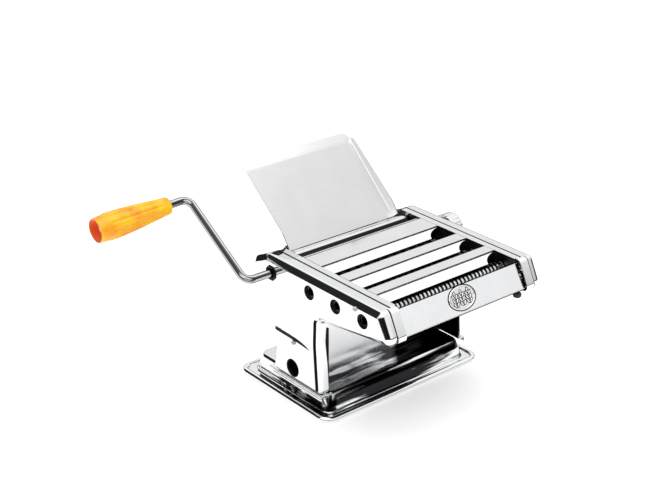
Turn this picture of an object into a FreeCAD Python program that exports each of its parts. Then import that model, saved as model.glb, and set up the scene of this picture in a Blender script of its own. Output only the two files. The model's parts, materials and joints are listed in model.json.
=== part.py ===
import FreeCAD, Part
import math
import os

V = FreeCAD.Vector

# Manual pasta roller machine, millimetres.  +Z up, origin at the centre of the base underside.
# The crank is on the -X side, the gap dial on the +X side, the front panel faces -Y.

# ---- base -------------------------------------------------------------------------------
BASE_X = 109.5            # half width over the rolled rim
BASE_Y = 75.0             # half depth over the rolled rim
BASE_R = 14.0             # plan corner radius
RIM_R = 3.4               # radius of the rolled rim
RIM_Z = 3.0               # height of the rim's centre, its underside is pressed flat at z = 0
SHEET = 1.0               # base and cover sheet
PLINTH_TOP = 24.0
PLINTH_FOOT = (95.5, 63.0)
PLINTH_DECK = (92.5, 59.2)

# ---- head -------------------------------------------------------------------------------
TOP = 152.7               # flat top of the head
COVER_X = 104.5           # outer face of the side covers
COVER_SKIRT = 92.5        # how far in the skirt of a cover reaches
COVER_LIP = 88.0          # how far in its top flange reaches
COVER_BEND = 6.0
FRAME_X = 80.0            # inner face of the inner frames
FRAME_T = 1.5
ROLLER_HALF = 78.5        # half length of rollers and cutters

# ---- rollers ----------------------------------------------------------------------------
DRIVE_Y = 18.1
ROLL_Z = 135.2
ROLL_R = 13.9
ROLL_GAP = 0.4            # thinnest sheet setting
GAP_TRAVEL = 1.6          # how much the dial opens the rollers
ADJ_Y = DRIVE_Y - 2 * ROLL_R - ROLL_GAP
JOURNAL_R = 6.0
ROLL_TEETH = 14
ROLL_MODULE = 2.0

# ---- cutters ----------------------------------------------------------------------------
CUT_Y = (-42.6, -82.2, -121.8)
CUT_Z = 135.8
CUT_R = 9.5
CUT_ROOT = 7.6
CUT_SPAN = 18.0           # distance between the two shafts of a pair
CUT_TILT = 20.0           # the driven shaft sits this many degrees below the drive shaft
CUT_COUNT = (12, 19, 30)  # rings on each shaft
CUT_TEETH = 12
CUT_MODULE = 1.5
CUT_JOURNAL = 5.5
RUNNING = 0.06            # radial clearance of every turning fit

# ---- crank ------------------------------------------------------------------------------
HEX_SOCKET = 7.8
HEX_END = 7.4
ROD_R = 4.25
ARM_X = -136.5
ARM_END = (114.2, 194.3)
GRIP_START = -161.0
GRIP_END = -246.1
GRIP_DROP = 6.0 / 109.6   # fall of the handle per millimetre outward

# ---- gap dial ---------------------------------------------------------------------------
DIAL_OFFSET = 4.5         # dial axis in front of the roller axis
DIAL_SWEEP = 270.0        # degrees from thinnest to thickest
DIAL_R = 17.0
DIAL_PIN = 2.0

DRIVEN_DY = -CUT_SPAN * math.cos(math.radians(CUT_TILT))
DRIVEN_DZ = -CUT_SPAN * math.sin(math.radians(CUT_TILT))


def save(name, shape):
    if not shape.isValid():
        raise ValueError(name + " is not valid")
    for solid in shape.Solids:
        if solid.Volume <= 0 or not solid.isClosed():
            raise ValueError(name + " has an open solid")
    shape.exportStep("parts/" + name + ".step")
    print(name, len(shape.Solids), round(shape.Volume, 1))


def group(solids):
    return Part.makeCompound(solids)


def mirrored(shape):
    return shape.mirror(V(0, 0, 0), V(1, 0, 0))


def rounded(points, x=0.0):
    """Closed outline in the YZ plane from (y, z, corner radius) points."""
    edges = []
    ends = []
    n = len(points)
    for i in range(n):
        p = V(x, points[i][0], points[i][1])
        r = points[i][2]
        a = V(x, points[i - 1][0], points[i - 1][1]) - p
        b = V(x, points[(i + 1) % n][0], points[(i + 1) % n][1]) - p
        a.normalize()
        b.normalize()
        if r <= 0:
            ends.append((p, p, p))
            continue
        half = math.acos(max(-1.0, min(1.0, a.dot(b)))) / 2
        reach = r / math.tan(half)
        mid = a + b
        mid.normalize()
        ends.append((p + a * reach, p + mid * (r / math.sin(half) - r), p + b * reach))
    for i in range(n):
        start, middle, stop = ends[i]
        if (stop - start).Length > 1e-6:
            edges.append(Part.Arc(start, middle, stop).toShape())
        following = ends[(i + 1) % n][0]
        edges.append(Part.makeLine(stop, following))
    return Part.Wire(edges)


def extrude_x(wire, depth):
    return Part.Face(wire).extrude(V(depth, 0, 0))


def prism(points, x0, x1):
    return extrude_x(rounded([(p[0], p[1], p[2] if len(p) > 2 else 0) for p in points], x0), x1 - x0)


def rod(r, x0, x1, y, z):
    return Part.makeCylinder(r, x1 - x0, V(x0, y, z), V(1, 0, 0))


def tube(r, bore, x0, x1, y, z):
    return rod(r, x0, x1, y, z).cut(rod(bore, x0 - 1, x1 + 1, y, z))


def hexagon(flats, x0, x1, y, z):
    r = flats / 2 / math.cos(math.radians(30))
    pts = []
    for i in range(7):
        a = math.radians(60 * i)
        pts.append(V(x0, y + r * math.cos(a), z + r * math.sin(a)))
    return Part.Face(Part.makePolygon(pts)).extrude(V(x1 - x0, 0, 0))


def block(x0, x1, y0, y1, z0, z1):
    return Part.makeBox(x1 - x0, y1 - y0, z1 - z0, V(x0, y0, z0))


def plan_outline(half_x, half_y, r, z):
    """Rounded rectangle in plan, as a wire."""
    x, y = half_x - r, half_y - r
    k = r * math.sqrt(0.5)
    edges = []
    for sx, sy in ((1, 1), (-1, 1), (-1, -1), (1, -1)):
        c = V(sx * x, sy * y, z)
        first = c + (V(sx * r, 0, 0) if sx * sy > 0 else V(0, sy * r, 0))
        last = c + (V(0, sy * r, 0) if sx * sy > 0 else V(sx * r, 0, 0))
        edges.append(Part.Arc(first, c + V(sx * k, sy * k, 0), last).toShape())
    out = []
    for i in range(4):
        out.append(edges[i])
        out.append(Part.makeLine(edges[i].Vertexes[1].Point, edges[(i + 1) % 4].Vertexes[0].Point))
    return Part.Wire(out)


# ---- base -------------------------------------------------------------------------------
def rim():
    """Rolled rim around the base, with a flat pressed on its underside."""
    x, y = BASE_X - RIM_R, BASE_Y - RIM_R
    r = BASE_R - RIM_R
    pieces = []
    for sx in (-1, 1):
        pieces.append(Part.makeCylinder(RIM_R, 2 * (y - r), V(sx * x, r - y, RIM_Z), V(0, 1, 0)))
        for sy in (-1, 1):
            ring = Part.makeTorus(r, RIM_R, V(sx * (x - r), sy * (y - r), RIM_Z), V(0, 0, 1))
            quarter = Part.makeBox(r + RIM_R, r + RIM_R, 20)
            quarter.translate(V(x - r, y - r, -10))
            if sx < 0:
                quarter = quarter.mirror(V(0, 0, 0), V(1, 0, 0))
            if sy < 0:
                quarter = quarter.mirror(V(0, 0, 0), V(0, 1, 0))
            pieces.append(ring.common(quarter))
    for sy in (-1, 1):
        pieces.append(Part.makeCylinder(RIM_R, 2 * (x - r), V(r - x, sy * y, RIM_Z), V(1, 0, 0)))
    whole = pieces[0].multiFuse(pieces[1:])
    return whole.common(Part.makeBox(400, 400, 50, V(-200, -200, 0)))


def plinth(inset, top):
    foot = plan_outline(PLINTH_FOOT[0] - inset, PLINTH_FOOT[1] - inset, 10.0 - inset, 2.6)
    deck = plan_outline(PLINTH_DECK[0] - inset, PLINTH_DECK[1] - inset, 7.0 - inset, top)
    return Part.makeLoft([foot, deck], True, True)


def base_plate():
    apron = Part.Face(plan_outline(BASE_X - RIM_R, BASE_Y - RIM_R, BASE_R - RIM_R, 2.6))
    apron = apron.extrude(V(0, 0, SHEET))
    body = apron.fuse(plinth(0, PLINTH_TOP)).fuse(rim())
    hollow = plinth(SHEET, PLINTH_TOP - SHEET)
    below = Part.Face(plan_outline(PLINTH_FOOT[0] - SHEET, PLINTH_FOOT[1] - SHEET, 9.0, 0))
    return body.cut(hollow.fuse(below.extrude(V(0, 0, 2.6)))).removeSplitter()


def foot_rails():
    """Angle strips that carry the covers beside the plinth."""
    left = block(-101.5, -92.6, -57.0, 28.0, PLINTH_TOP - 1.2, PLINTH_TOP)
    left = left.fuse(block(-101.5, -100.3, -57.0, 22.0, PLINTH_TOP - 6.0, PLINTH_TOP))
    left = left.cut(plinth(0, PLINTH_TOP))
    return group([left, mirrored(left)])


# ---- side covers ------------------------------------------------------------------------
COVER_SCREWS = ((-17.3, 70.6), (-111.3, 145.0))
COVER_OUTLINE = (
    (-145.6, TOP, 7.0), (-161.3, 121.8, 7.0), (-55.5, 107.8, 5.0), (-54.4, 80.0, 90.0),
    (-58.6, PLINTH_TOP, 7.0), (20.6, PLINTH_TOP, 7.0), (19.3, 40.0, 40.0), (9.4, 80.0, 18.0),
    (11.6, 105.0, 22.0), (52.3, 117.6, 9.0), (51.9, 136.0, 9.0), (49.2, 142.8, 6.2),
    (28.0, TOP, 12.0))


def side_outline(inset, x):
    """The cover's outline at x, drawn in by inset all round."""
    wire = rounded(COVER_OUTLINE, 0.0)
    if inset > 0:
        wire = wire.makeOffset2D(-inset)
    wire.translate(V(x, 0, 0))
    return wire


def rolled(solid, x, r):
    edges = []
    for e in solid.Edges:
        if abs(e.BoundBox.XMin - x) < 1e-4 and abs(e.BoundBox.XMax - x) < 1e-4:
            edges.append(e)
    return solid.makeFillet(r, edges)


def cover_shell():
    outer = rolled(extrude_x(side_outline(0, -COVER_X), COVER_X - COVER_SKIRT), -COVER_X, COVER_BEND)
    inner = extrude_x(side_outline(SHEET, -COVER_X + SHEET), COVER_X)
    inner = rolled(inner, -COVER_X + SHEET, COVER_BEND - SHEET)
    shell = outer.cut(inner)
    lip = block(-COVER_SKIRT, -COVER_LIP, -140.5, 27.0, TOP - SHEET, TOP)
    return shell.fuse(lip)


def crease():
    """Shallow pressed line across the waist of the cover."""
    pts = [(12.0, 75.3, 0), (12.0, 77.6, 0), (-26.0, 77.9, 30.0), (-42.5, 73.0, 0), (-28.0, 76.0, 30.0)]
    return extrude_x(rounded(pts, -COVER_X - 1), 1.35)


def screw_holes(shell):
    for y, z in COVER_SCREWS:
        shell = shell.cut(rod(1.6, -COVER_X - 1, -COVER_X + 3, y, z))
    return shell


def left_cover():
    shell = screw_holes(cover_shell().cut(crease()))
    shell = shell.cut(rod(8.0, -110, -90, DRIVE_Y, ROLL_Z))
    for y in CUT_Y:
        shell = shell.cut(rod(7.6, -110, -90, y, CUT_Z))
    return shell.cut(rod(10.0, -110, -90, -15.1, 40.2))


def right_cover():
    shell = mirrored(screw_holes(cover_shell().cut(crease())))
    return shell.cut(rod(9.0 + RUNNING, 90, 110, ADJ_Y - DIAL_OFFSET, ROLL_Z))


def clamp_socket():
    """Tube that takes the bent end of a table clamp."""
    sleeve = tube(11.4, 9.6, -103.4, -83.5, -15.1, 40.2)
    return sleeve.fuse(tube(11.7, 9.6, -83.5, -FRAME_X - FRAME_T, -15.1, 40.2))


def cover_screws():
    out = []
    for y, z in COVER_SCREWS:
        head = rod(2.6, -COVER_X - 1.4, -COVER_X, y, z)
        head = head.cut(block(-COVER_X - 2, -COVER_X - 0.8, y - 3, y + 3, z - 0.4, z + 0.4))
        shank = rod(1.6, -COVER_X, -FRAME_X - FRAME_T, y, z)
        out.append(head.fuse(shank))
    return group(out + [mirrored(s) for s in out])


# ---- inner frames -----------------------------------------------------------------------
def front_plane_cut(back):
    """Everything in front of the front panel's outer plane, moved back by the given amount."""
    y0, z0, y1, z1 = -142.7 + back, 149.3, -156.6 + back, 124.3
    dy, dz = (y0 - y1) / (z0 - z1), 1.0
    low = (y1 - dy * 40, z1 - dz * 40)
    high = (y0 + dy * 20, z0 + dz * 20)
    return prism([high, low, (-300, low[1]), (-300, high[1])], -200, 200)


def frame_plate():
    plate = extrude_x(side_outline(1.5, -FRAME_X - FRAME_T), FRAME_T)
    plate = plate.cut(front_plane_cut(1.1))
    leg_room = block(-90, -70, -80, -26.0, 0, 104.0)
    plate = plate.cut(leg_room)
    flange = block(-COVER_LIP + 0.3, -FRAME_X, -140.0, 26.0, TOP - FRAME_T, TOP)
    foot = block(-COVER_LIP, -FRAME_X - 0.2, -25.0, 15.0, PLINTH_TOP, PLINTH_TOP + FRAME_T)
    foot = foot.fuse(block(-FRAME_X - FRAME_T, -FRAME_X, -25.0, 15.0, PLINTH_TOP, 30.0))
    return plate.fuse(flange).fuse(foot)


def frame_bores(plate):
    plate = plate.cut(rod(8.0, -90, -70, DRIVE_Y, ROLL_Z))
    window = block(-90, -70, ADJ_Y - GAP_TRAVEL - 7.25, ADJ_Y + 7.2, ROLL_Z - 7.1, ROLL_Z + 7.1)
    plate = plate.cut(window)
    for y in CUT_Y:
        plate = plate.cut(rod(7.0, -90, -70, y, CUT_Z))
        plate = plate.cut(rod(6.5, -90, -70, y + DRIVEN_DY, CUT_Z + DRIVEN_DZ))
    return plate


def left_frame():
    return frame_bores(frame_plate())


def right_frame():
    return mirrored(left_frame())


TIE_RODS = ((37.0, 135.5), (-28.5, 122.0), (-70.8, 122.0), (-110.5, 122.0), (14.0, 114.5))


def tie_rods():
    out = []
    for y, z in TIE_RODS:
        shaft = rod(2.6, -FRAME_X, FRAME_X, y, z)
        for side in (-1, 1):
            end = rod(1.9, min(side * FRAME_X, side * 83.6), max(side * FRAME_X, side * 83.6), y, z)
            shaft = shaft.fuse(end)
        out.append(shaft)
    return group(out)


def tie_holes(plate):
    for y, z in TIE_RODS:
        plate = plate.cut(rod(1.9, -100, 100, y, z))
    return plate


def tie_nuts():
    out = []
    for y, z in TIE_RODS:
        for x in (-FRAME_X - FRAME_T - 2.0, FRAME_X + FRAME_T):
            nut = hexagon(5.6, x, x + 2.0, y, z)
            out.append(nut.cut(rod(1.9, x - 1, x + 4, y, z)))
    return group(out)


# ---- panels between the frames ----------------------------------------------------------
def front_cover():
    """Sloping front panel with folded edges."""
    top, foot = V(0, -142.7, 149.3), V(0, -156.6, 124.3)
    down = foot - top
    down.normalize()
    back = V(0, -down.z, down.y)

    def strip(pts, half):
        wire = Part.makePolygon([p + V(-half, 0, 0) for p in pts + [pts[0]]])
        return Part.Face(wire).extrude(V(2 * half, 0, 0))

    face = strip([top, foot, foot + back * 0.8, top + back * 0.8], 81.4)
    pts = [foot, foot + back * 5.0, foot + back * 5.0 - down * 0.8, foot - down * 0.8]
    upper = [top, top + back * 4.0, top + back * 4.0 + down * 0.8, top + down * 0.8]
    return face.fuse(strip(pts, 79.8)).fuse(strip(upper, 79.8))


def medallion():
    """Raised oval badge with a plain wheat-ear relief."""
    seed = []
    for i in range(3):
        lift = -5.6 + 5.2 * i
        for side in (-1, 1):
            leaf = Part.Ellipse(V(0, 0, 0), 3.4, 1.35).toShape()
            leaf.rotate(V(0, 0, 0), V(0, 0, 1), side * 38)
            leaf.translate(V(side * 3.3, lift, 0))
            seed.append(leaf)
    tip = Part.Ellipse(V(0, 0, 0), 3.2, 1.35).toShape()
    tip.rotate(V(0, 0, 0), V(0, 0, 1), 90)
    tip.translate(V(0, 8.3, 0))
    seed.append(tip)
    disc = Part.Face(Part.Wire(Part.Ellipse(V(0, 0, 0), 17.0, 12.0).toShape())).extrude(V(0, 0, 0.6))
    ring = Part.Face(Part.Wire(Part.Ellipse(V(0, 0, 0), 17.0, 12.0).toShape())).extrude(V(0, 0, 1.2))
    ring = ring.cut(Part.Face(Part.Wire(Part.Ellipse(V(0, 0, 0), 15.8, 10.8).toShape())).extrude(V(0, 0, 2)))
    badge = disc.fuse(ring)
    for leaf in seed:
        badge = badge.fuse(Part.Face(Part.Wire(leaf)).extrude(V(0, 0, 1.1)))
    slope = math.degrees(math.atan2(149.3 - 124.3, 156.6 - 142.7))
    badge.rotate(V(0, 0, 0), V(1, 0, 0), slope)
    badge.translate(V(-1.0, -148.83, 138.32))
    return badge


def rear_cover():
    pts = [(48.6, 139.5, 0), (49.5, 136.0, 0), (50.0, 120.5, 2.0), (42.0, 116.5, 0), (42.4, 115.7, 0),
           (50.8, 119.9, 2.0), (50.3, 136.2, 0), (49.3, 139.9, 0)]
    return prism(pts, -FRAME_X, FRAME_X)


def column_panel():
    """Cross panel between the columns, with a wing forward along each of them."""
    wall = block(-91.8, 91.8, -28.0, -27.0, PLINTH_TOP, 103.5)
    wing = block(-91.8, -90.8, -52.5, -28.0, PLINTH_TOP, 103.5)
    return wall.fuse(wing).fuse(mirrored(wing))


SLATS = ((-7.0, -31.5), (-58.0, -73.6), (-98.9, -113.1))


def guide_plate(ridge):
    """Slanted guide below a ridge, cut back at its right end."""
    low = (ridge - 12.8, 147.1)
    pts = [(ridge, TOP), (low[0], low[1]), (low[0] + 0.3, low[1] - 0.7), (ridge + 0.3, TOP - 1.0)]
    plate = prism(pts, -79.0, 79.0)
    corner = [V(79.5, ridge + 1, 120), V(78.6, ridge, 120), V(60.0, low[0] - 0.2, 120),
              V(79.5, low[0] - 0.5, 120)]
    face = Part.Face(Part.makePolygon(corner + [corner[0]]))
    plate = plate.cut(face.extrude(V(0, 0, 60)))
    return plate


def slat(rear, ridge):
    top = prism([(rear, TOP), (ridge, TOP), (ridge, TOP - 1.0), (rear, TOP - 1.0)], -79.7, 79.7)
    return top.fuse(guide_plate(ridge))


def slat_1():
    rear, ridge = SLATS[0]
    lip = prism([(rear + 2.5, TOP), (rear + 8.3, 150.4), (rear + 7.9, 149.6), (rear + 2.1, TOP - 1.0)],
                -79.7, 79.7)
    top = prism([(rear + 2.5, TOP), (rear, TOP), (rear, TOP - 1.0), (rear + 2.5, TOP - 1.0)], -79.7, 79.7)
    return slat(rear, ridge).fuse(top).fuse(lip)


def slat_2():
    rear, ridge = SLATS[1]
    return slat(rear, ridge)


def slat_3():
    rear, ridge = SLATS[2]
    return slat(rear, ridge)


def scrapers():
    """Thin blades that strip the sheet from the underside of the two rollers."""
    out = []
    pts = [(13.2, 121.9), (14.0, 121.9), (20.0, 117.2), (19.4, 116.6)]
    out.append(prism([(p[0] + 3.0, p[1] - 1.0) for p in pts], -79.9, 79.9))
    pts = [(-9.0, 120.9), (-9.8, 120.9), (-17.8, 115.4), (-17.2, 114.8)]
    out.append(prism(pts, -79.9, 79.9))
    return group(out)


# ---- turning parts ----------------------------------------------------------------------
def gear(teeth, module, tip, root, bore, x0, x1, y, z, phase):
    """Spur gear with involute flanks and a little backlash."""
    pitch = teeth * module / 2
    base = pitch * math.cos(math.radians(20))
    slack = 0.22 / pitch
    half_at_pitch = math.pi / (2 * teeth) - slack

    def flank(r):
        if r <= base:
            return half_at_pitch + inv(pitch)
        return half_at_pitch + inv(pitch) - inv(r)

    def inv(r):
        a = math.acos(min(1.0, base / r))
        return math.tan(a) - a

    radii = [root, max(base, root + 0.1), (base + tip) / 2, tip]
    pts = []
    for i in range(teeth):
        mid = phase + 2 * math.pi * i / teeth
        for r in radii:
            pts.append((r, mid - flank(r)))
        for r in reversed(radii):
            pts.append((r, mid + flank(r)))
    ring = [V(x0, y + r * math.cos(a), z + r * math.sin(a)) for r, a in pts]
    blank = Part.Face(Part.makePolygon(ring + [ring[0]])).extrude(V(x1 - x0, 0, 0))
    return blank.cut(rod(bore, x0 - 1, x1 + 1, y, z))


def drive_roller():
    body = rod(ROLL_R, -ROLLER_HALF, ROLLER_HALF, DRIVE_Y, ROLL_Z)
    body = body.fuse(rod(JOURNAL_R, -92.0, -ROLLER_HALF, DRIVE_Y, ROLL_Z))
    body = body.fuse(rod(7.3, -102.6, -92.0, DRIVE_Y, ROLL_Z))
    body = body.fuse(rod(JOURNAL_R, ROLLER_HALF, 84.5, DRIVE_Y, ROLL_Z))
    return body.cut(hexagon(HEX_SOCKET, -103, -88.0, DRIVE_Y, ROLL_Z))


def drive_gear():
    return gear(ROLL_TEETH, ROLL_MODULE, 15.6, 12.1, JOURNAL_R, -91.5, -84.0, DRIVE_Y, ROLL_Z, math.pi)


def adjust_roller():
    body = rod(ROLL_R, -ROLLER_HALF, ROLLER_HALF, ADJ_Y, ROLL_Z)
    body = body.fuse(rod(5.0, -92.0, -ROLLER_HALF, ADJ_Y, ROLL_Z))
    return body.fuse(rod(5.0, ROLLER_HALF, 83.5, ADJ_Y, ROLL_Z))


def adjust_gear():
    half = math.pi / ROLL_TEETH
    return gear(ROLL_TEETH, ROLL_MODULE, 15.6, 12.1, 5.0, -91.5, -84.0, ADJ_Y, ROLL_Z, half)


def bearing_block(x0, x1):
    return block(x0, x1, ADJ_Y - 7.0, ADJ_Y + 7.0, ROLL_Z - 7.0, ROLL_Z + 7.0)


def left_block():
    return bearing_block(-83.4, -79.2).cut(rod(5.0 + RUNNING, -90, -70, ADJ_Y, ROLL_Z))


def right_block():
    """Sliding bearing of the adjustable roller, with the pin that the dial's scroll moves."""
    body = bearing_block(79.2, 86.0).cut(rod(5.0 + RUNNING, 70, 84.0, ADJ_Y, ROLL_Z))
    return body.fuse(rod(DIAL_PIN, 86.0, 101.0, ADJ_Y, ROLL_Z))


def scroll_slot(x0, x1, y, z):
    """Spiral groove in the dial, its radius falls evenly with the angle."""
    wide = DIAL_PIN + 0.15

    def at(t, out):
        r = DIAL_OFFSET - GAP_TRAVEL * t / DIAL_SWEEP + out
        a = -math.radians(t)
        return V(x0, y + r * math.cos(a), z + r * math.sin(a))

    steps = [-2.0 + (DIAL_SWEEP + 4.0) * i / 18.0 for i in range(19)]
    outer = Part.BSplineCurve()
    outer.interpolate([at(t, wide) for t in steps])
    inner = Part.BSplineCurve()
    inner.interpolate([at(t, -wide) for t in reversed(steps)])
    first, last = steps[0], steps[-1]
    turn = math.degrees(wide / (DIAL_OFFSET - GAP_TRAVEL))
    far = Part.Arc(at(last, wide), at(last + turn, 0), at(last, -wide)).toShape()
    turn = math.degrees(wide / DIAL_OFFSET)
    near = Part.Arc(at(first, -wide), at(first - turn, 0), at(first, wide)).toShape()
    wire = Part.Wire([outer.toShape(), far, inner.toShape(), near])
    return Part.Face(wire).extrude(V(x1 - x0, 0, 0))


def gap_dial():
    y = ADJ_Y - DIAL_OFFSET
    hub = rod(9.0, 97.0, 105.4, y, ROLL_Z)
    head = rod(DIAL_R, 105.4, 121.0, y, ROLL_Z)
    edges = [e for e in head.Edges if abs(e.BoundBox.XMin - 121.0) < 1e-3 and e.Length > 50]
    head = head.makeFillet(3.0, edges)
    for i in range(20):
        a = math.radians(18 * i + 9)
        head = head.cut(rod(1.1, 107.5, 122.0, y + 17.4 * math.cos(a), ROLL_Z + 17.4 * math.sin(a)))
    dial = hub.fuse(head)
    dial = dial.cut(scroll_slot(96.0, 101.4, y, ROLL_Z))
    return dial.cut(rod(3.2, 119.6, 122.0, y, ROLL_Z))


def dial_screw():
    y = ADJ_Y - DIAL_OFFSET
    head = rod(3.0, 119.6, 122.3, y, ROLL_Z)
    return head.cut(block(121.5, 123, y - 4, y + 4, ROLL_Z - 0.4, ROLL_Z + 0.4))


def roller_bushes():
    left = tube(8.0, JOURNAL_R + RUNNING, -83.0, -FRAME_X, DRIVE_Y, ROLL_Z)
    left = left.fuse(tube(9.5, JOURNAL_R + RUNNING, -83.4, -FRAME_X - FRAME_T, DRIVE_Y, ROLL_Z))
    return group([left, mirrored(left)])


def cutter_rings(count, shift):
    """Ringed barrel of a cutter; shift is 0 or 1, so that two barrels interleave."""
    pitch = 2 * (ROLLER_HALF - 1.5) / (count + 0.5)
    land = pitch / 2 - 0.4
    x = -ROLLER_HALF + 1.5 + 0.2 + shift * pitch / 2
    pts = [V(-ROLLER_HALF, 0, 0), V(-ROLLER_HALF, CUT_ROOT, 0)]
    for i in range(count):
        a = x + i * pitch
        for px, pr in ((a, CUT_ROOT), (a, CUT_R), (a + land, CUT_R), (a + land, CUT_ROOT)):
            pts.append(V(px, pr, 0))
    pts += [V(ROLLER_HALF, CUT_ROOT, 0), V(ROLLER_HALF, 0, 0)]
    face = Part.Face(Part.makePolygon(pts + [pts[0]]))
    return face.revolve(V(0, 0, 0), V(1, 0, 0), 360), pitch, x, land


def cutter_drive(i):
    y = CUT_Y[i]
    barrel = cutter_rings(CUT_COUNT[i], 0)[0]
    barrel.translate(V(0, y, CUT_Z))
    barrel = barrel.fuse(rod(CUT_JOURNAL, -92.0, -ROLLER_HALF, y, CUT_Z))
    barrel = barrel.fuse(rod(6.7, -102.2, -92.0, y, CUT_Z))
    barrel = barrel.fuse(rod(CUT_JOURNAL, ROLLER_HALF, 91.5, y, CUT_Z))
    return barrel.cut(hexagon(HEX_SOCKET, -103, -88.0, y, CUT_Z))


def cutter_driven(i):
    y, z = CUT_Y[i] + DRIVEN_DY, CUT_Z + DRIVEN_DZ
    barrel = cutter_rings(CUT_COUNT[i], 1)[0]
    barrel.translate(V(0, y, z))
    barrel = barrel.fuse(rod(5.0, -84.5, -ROLLER_HALF, y, z))
    return barrel.fuse(rod(5.0, ROLLER_HALF, 91.5, y, z))


def cutter_gear_drive(i):
    toward = math.radians(180 + CUT_TILT)
    return gear(CUT_TEETH, CUT_MODULE, 10.2, 7.3, CUT_JOURNAL, 84.0, 91.0, CUT_Y[i], CUT_Z, toward)


def cutter_gear_driven(i):
    toward = math.radians(CUT_TILT) + math.pi / CUT_TEETH
    y, z = CUT_Y[i] + DRIVEN_DY, CUT_Z + DRIVEN_DZ
    return gear(CUT_TEETH, CUT_MODULE, 10.2, 7.3, 5.0, 84.0, 91.0, y, z, toward)


def cutter_bushes():
    out = []
    for y in CUT_Y:
        hub = tube(7.0, CUT_JOURNAL + RUNNING, -83.0, -FRAME_X, y, CUT_Z)
        out += [hub, mirrored(hub)]
        hub = tube(6.5, 5.0 + RUNNING, -83.0, -FRAME_X, y + DRIVEN_DY, CUT_Z + DRIVEN_DZ)
        out += [hub, mirrored(hub)]
    return group(out)


def comb(i, driven):
    """Stripper comb: one curved finger in each groove, joined by a bar below."""
    count = CUT_COUNT[i]
    shift = 1 if driven else 0
    y = CUT_Y[i] + (DRIVEN_DY if driven else 0)
    z = CUT_Z + (DRIVEN_DZ if driven else 0)
    pitch = 2 * (ROLLER_HALF - 1.5) / (count + 0.5)
    land = pitch / 2 - 0.4
    start = -ROLLER_HALF + 1.5 + 0.2 + shift * pitch / 2 + land
    gap = pitch - land
    if driven:
        a0, a1 = -96.0, -22.0
        bar_y = (y + 1.0, y + 5.0)
    else:
        a0, a1 = -136.0, -84.0
        bar_y = (y - 1.5, y + 2.5)
    radius = 8.75

    def arc(r, a, b):
        def p(t):
            return V(0, r * math.cos(math.radians(t)), r * math.sin(math.radians(t)))
        return Part.Arc(p(a), p((a + b) / 2), p(b)).toShape()

    outer = arc(radius + 0.55, a0, a1)
    inner = arc(radius - 0.75, a1, a0)
    edges = [outer, Part.makeLine(outer.Vertexes[1].Point, inner.Vertexes[0].Point), inner]
    edges.append(Part.makeLine(inner.Vertexes[1].Point, outer.Vertexes[0].Point))
    finger = Part.Face(Part.Wire(edges)).extrude(V(gap * 0.6, 0, 0))
    out = []
    for k in range(count - 1):
        f = finger.copy()
        f.translate(V(start + k * pitch + gap * 0.2, y, z))
        out.append(f)
    low = z - CUT_R - 0.4
    bar = block(-79.9, 79.9, bar_y[0], bar_y[1], low - 1.2, low)
    stem = []
    for f in out:
        b = f.BoundBox
        stem.append(block(b.XMin, b.XMax, bar_y[0] + 0.6, bar_y[1] - 0.6, low - 0.2, z - 8.4))
    return bar.multiFuse(out + stem)


def combs(i):
    return group([comb(i, False), comb(i, True)])


# ---- crank ------------------------------------------------------------------------------
def bent_path(points, radius):
    edges = []
    last = points[0]
    for i in range(1, len(points) - 1):
        a = points[i - 1] - points[i]
        b = points[i + 1] - points[i]
        a.normalize()
        b.normalize()
        half = math.acos(a.dot(b)) / 2
        reach = radius / math.tan(half)
        mid = a + b
        mid.normalize()
        p0, p1 = points[i] + a * reach, points[i] + b * reach
        pm = points[i] + mid * (radius / math.sin(half) - radius)
        edges.append(Part.makeLine(last, p0))
        edges.append(Part.Arc(p0, pm, p1).toShape())
        last = p1
    edges.append(Part.makeLine(last, points[-1]))
    return Part.Wire(edges)


def handle_point(x):
    """A point on the handle's axis."""
    return V(x, ARM_END[0], ARM_END[1] + (x - ARM_X) * GRIP_DROP)


def on_handle(shape):
    """Move a shape made along -X from the origin onto the handle's axis."""
    shape.rotate(V(0, 0, 0), V(0, 1, 0), -math.degrees(math.atan(GRIP_DROP)))
    shape.translate(handle_point(GRIP_START))
    return shape


def crank_rod():
    path = bent_path([V(-103.2, DRIVE_Y, ROLL_Z), V(ARM_X, DRIVE_Y, ROLL_Z),
                      V(ARM_X, ARM_END[0], ARM_END[1]), handle_point(GRIP_START + 0.5)], 10.0)
    circle = Part.Wire(Part.makeCircle(ROD_R, V(-103.2, DRIVE_Y, ROLL_Z), V(-1, 0, 0)))
    bar = path.makePipeShell([circle], True, False)
    end = hexagon(HEX_END, -103.4, -89.0, DRIVE_Y, ROLL_Z)
    spindle = on_handle(Part.makeCylinder(3.2, 78.0, V(1.5, 0, 0), V(-1, 0, 0)))
    return bar.fuse(end).fuse(spindle)


def grip_rivet():
    """Washer riveted on the end of the spindle, it holds the grip on."""
    return on_handle(Part.makeCylinder(5.0, 1.6, V(-76.6, 0, 0), V(-1, 0, 0)))


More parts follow.
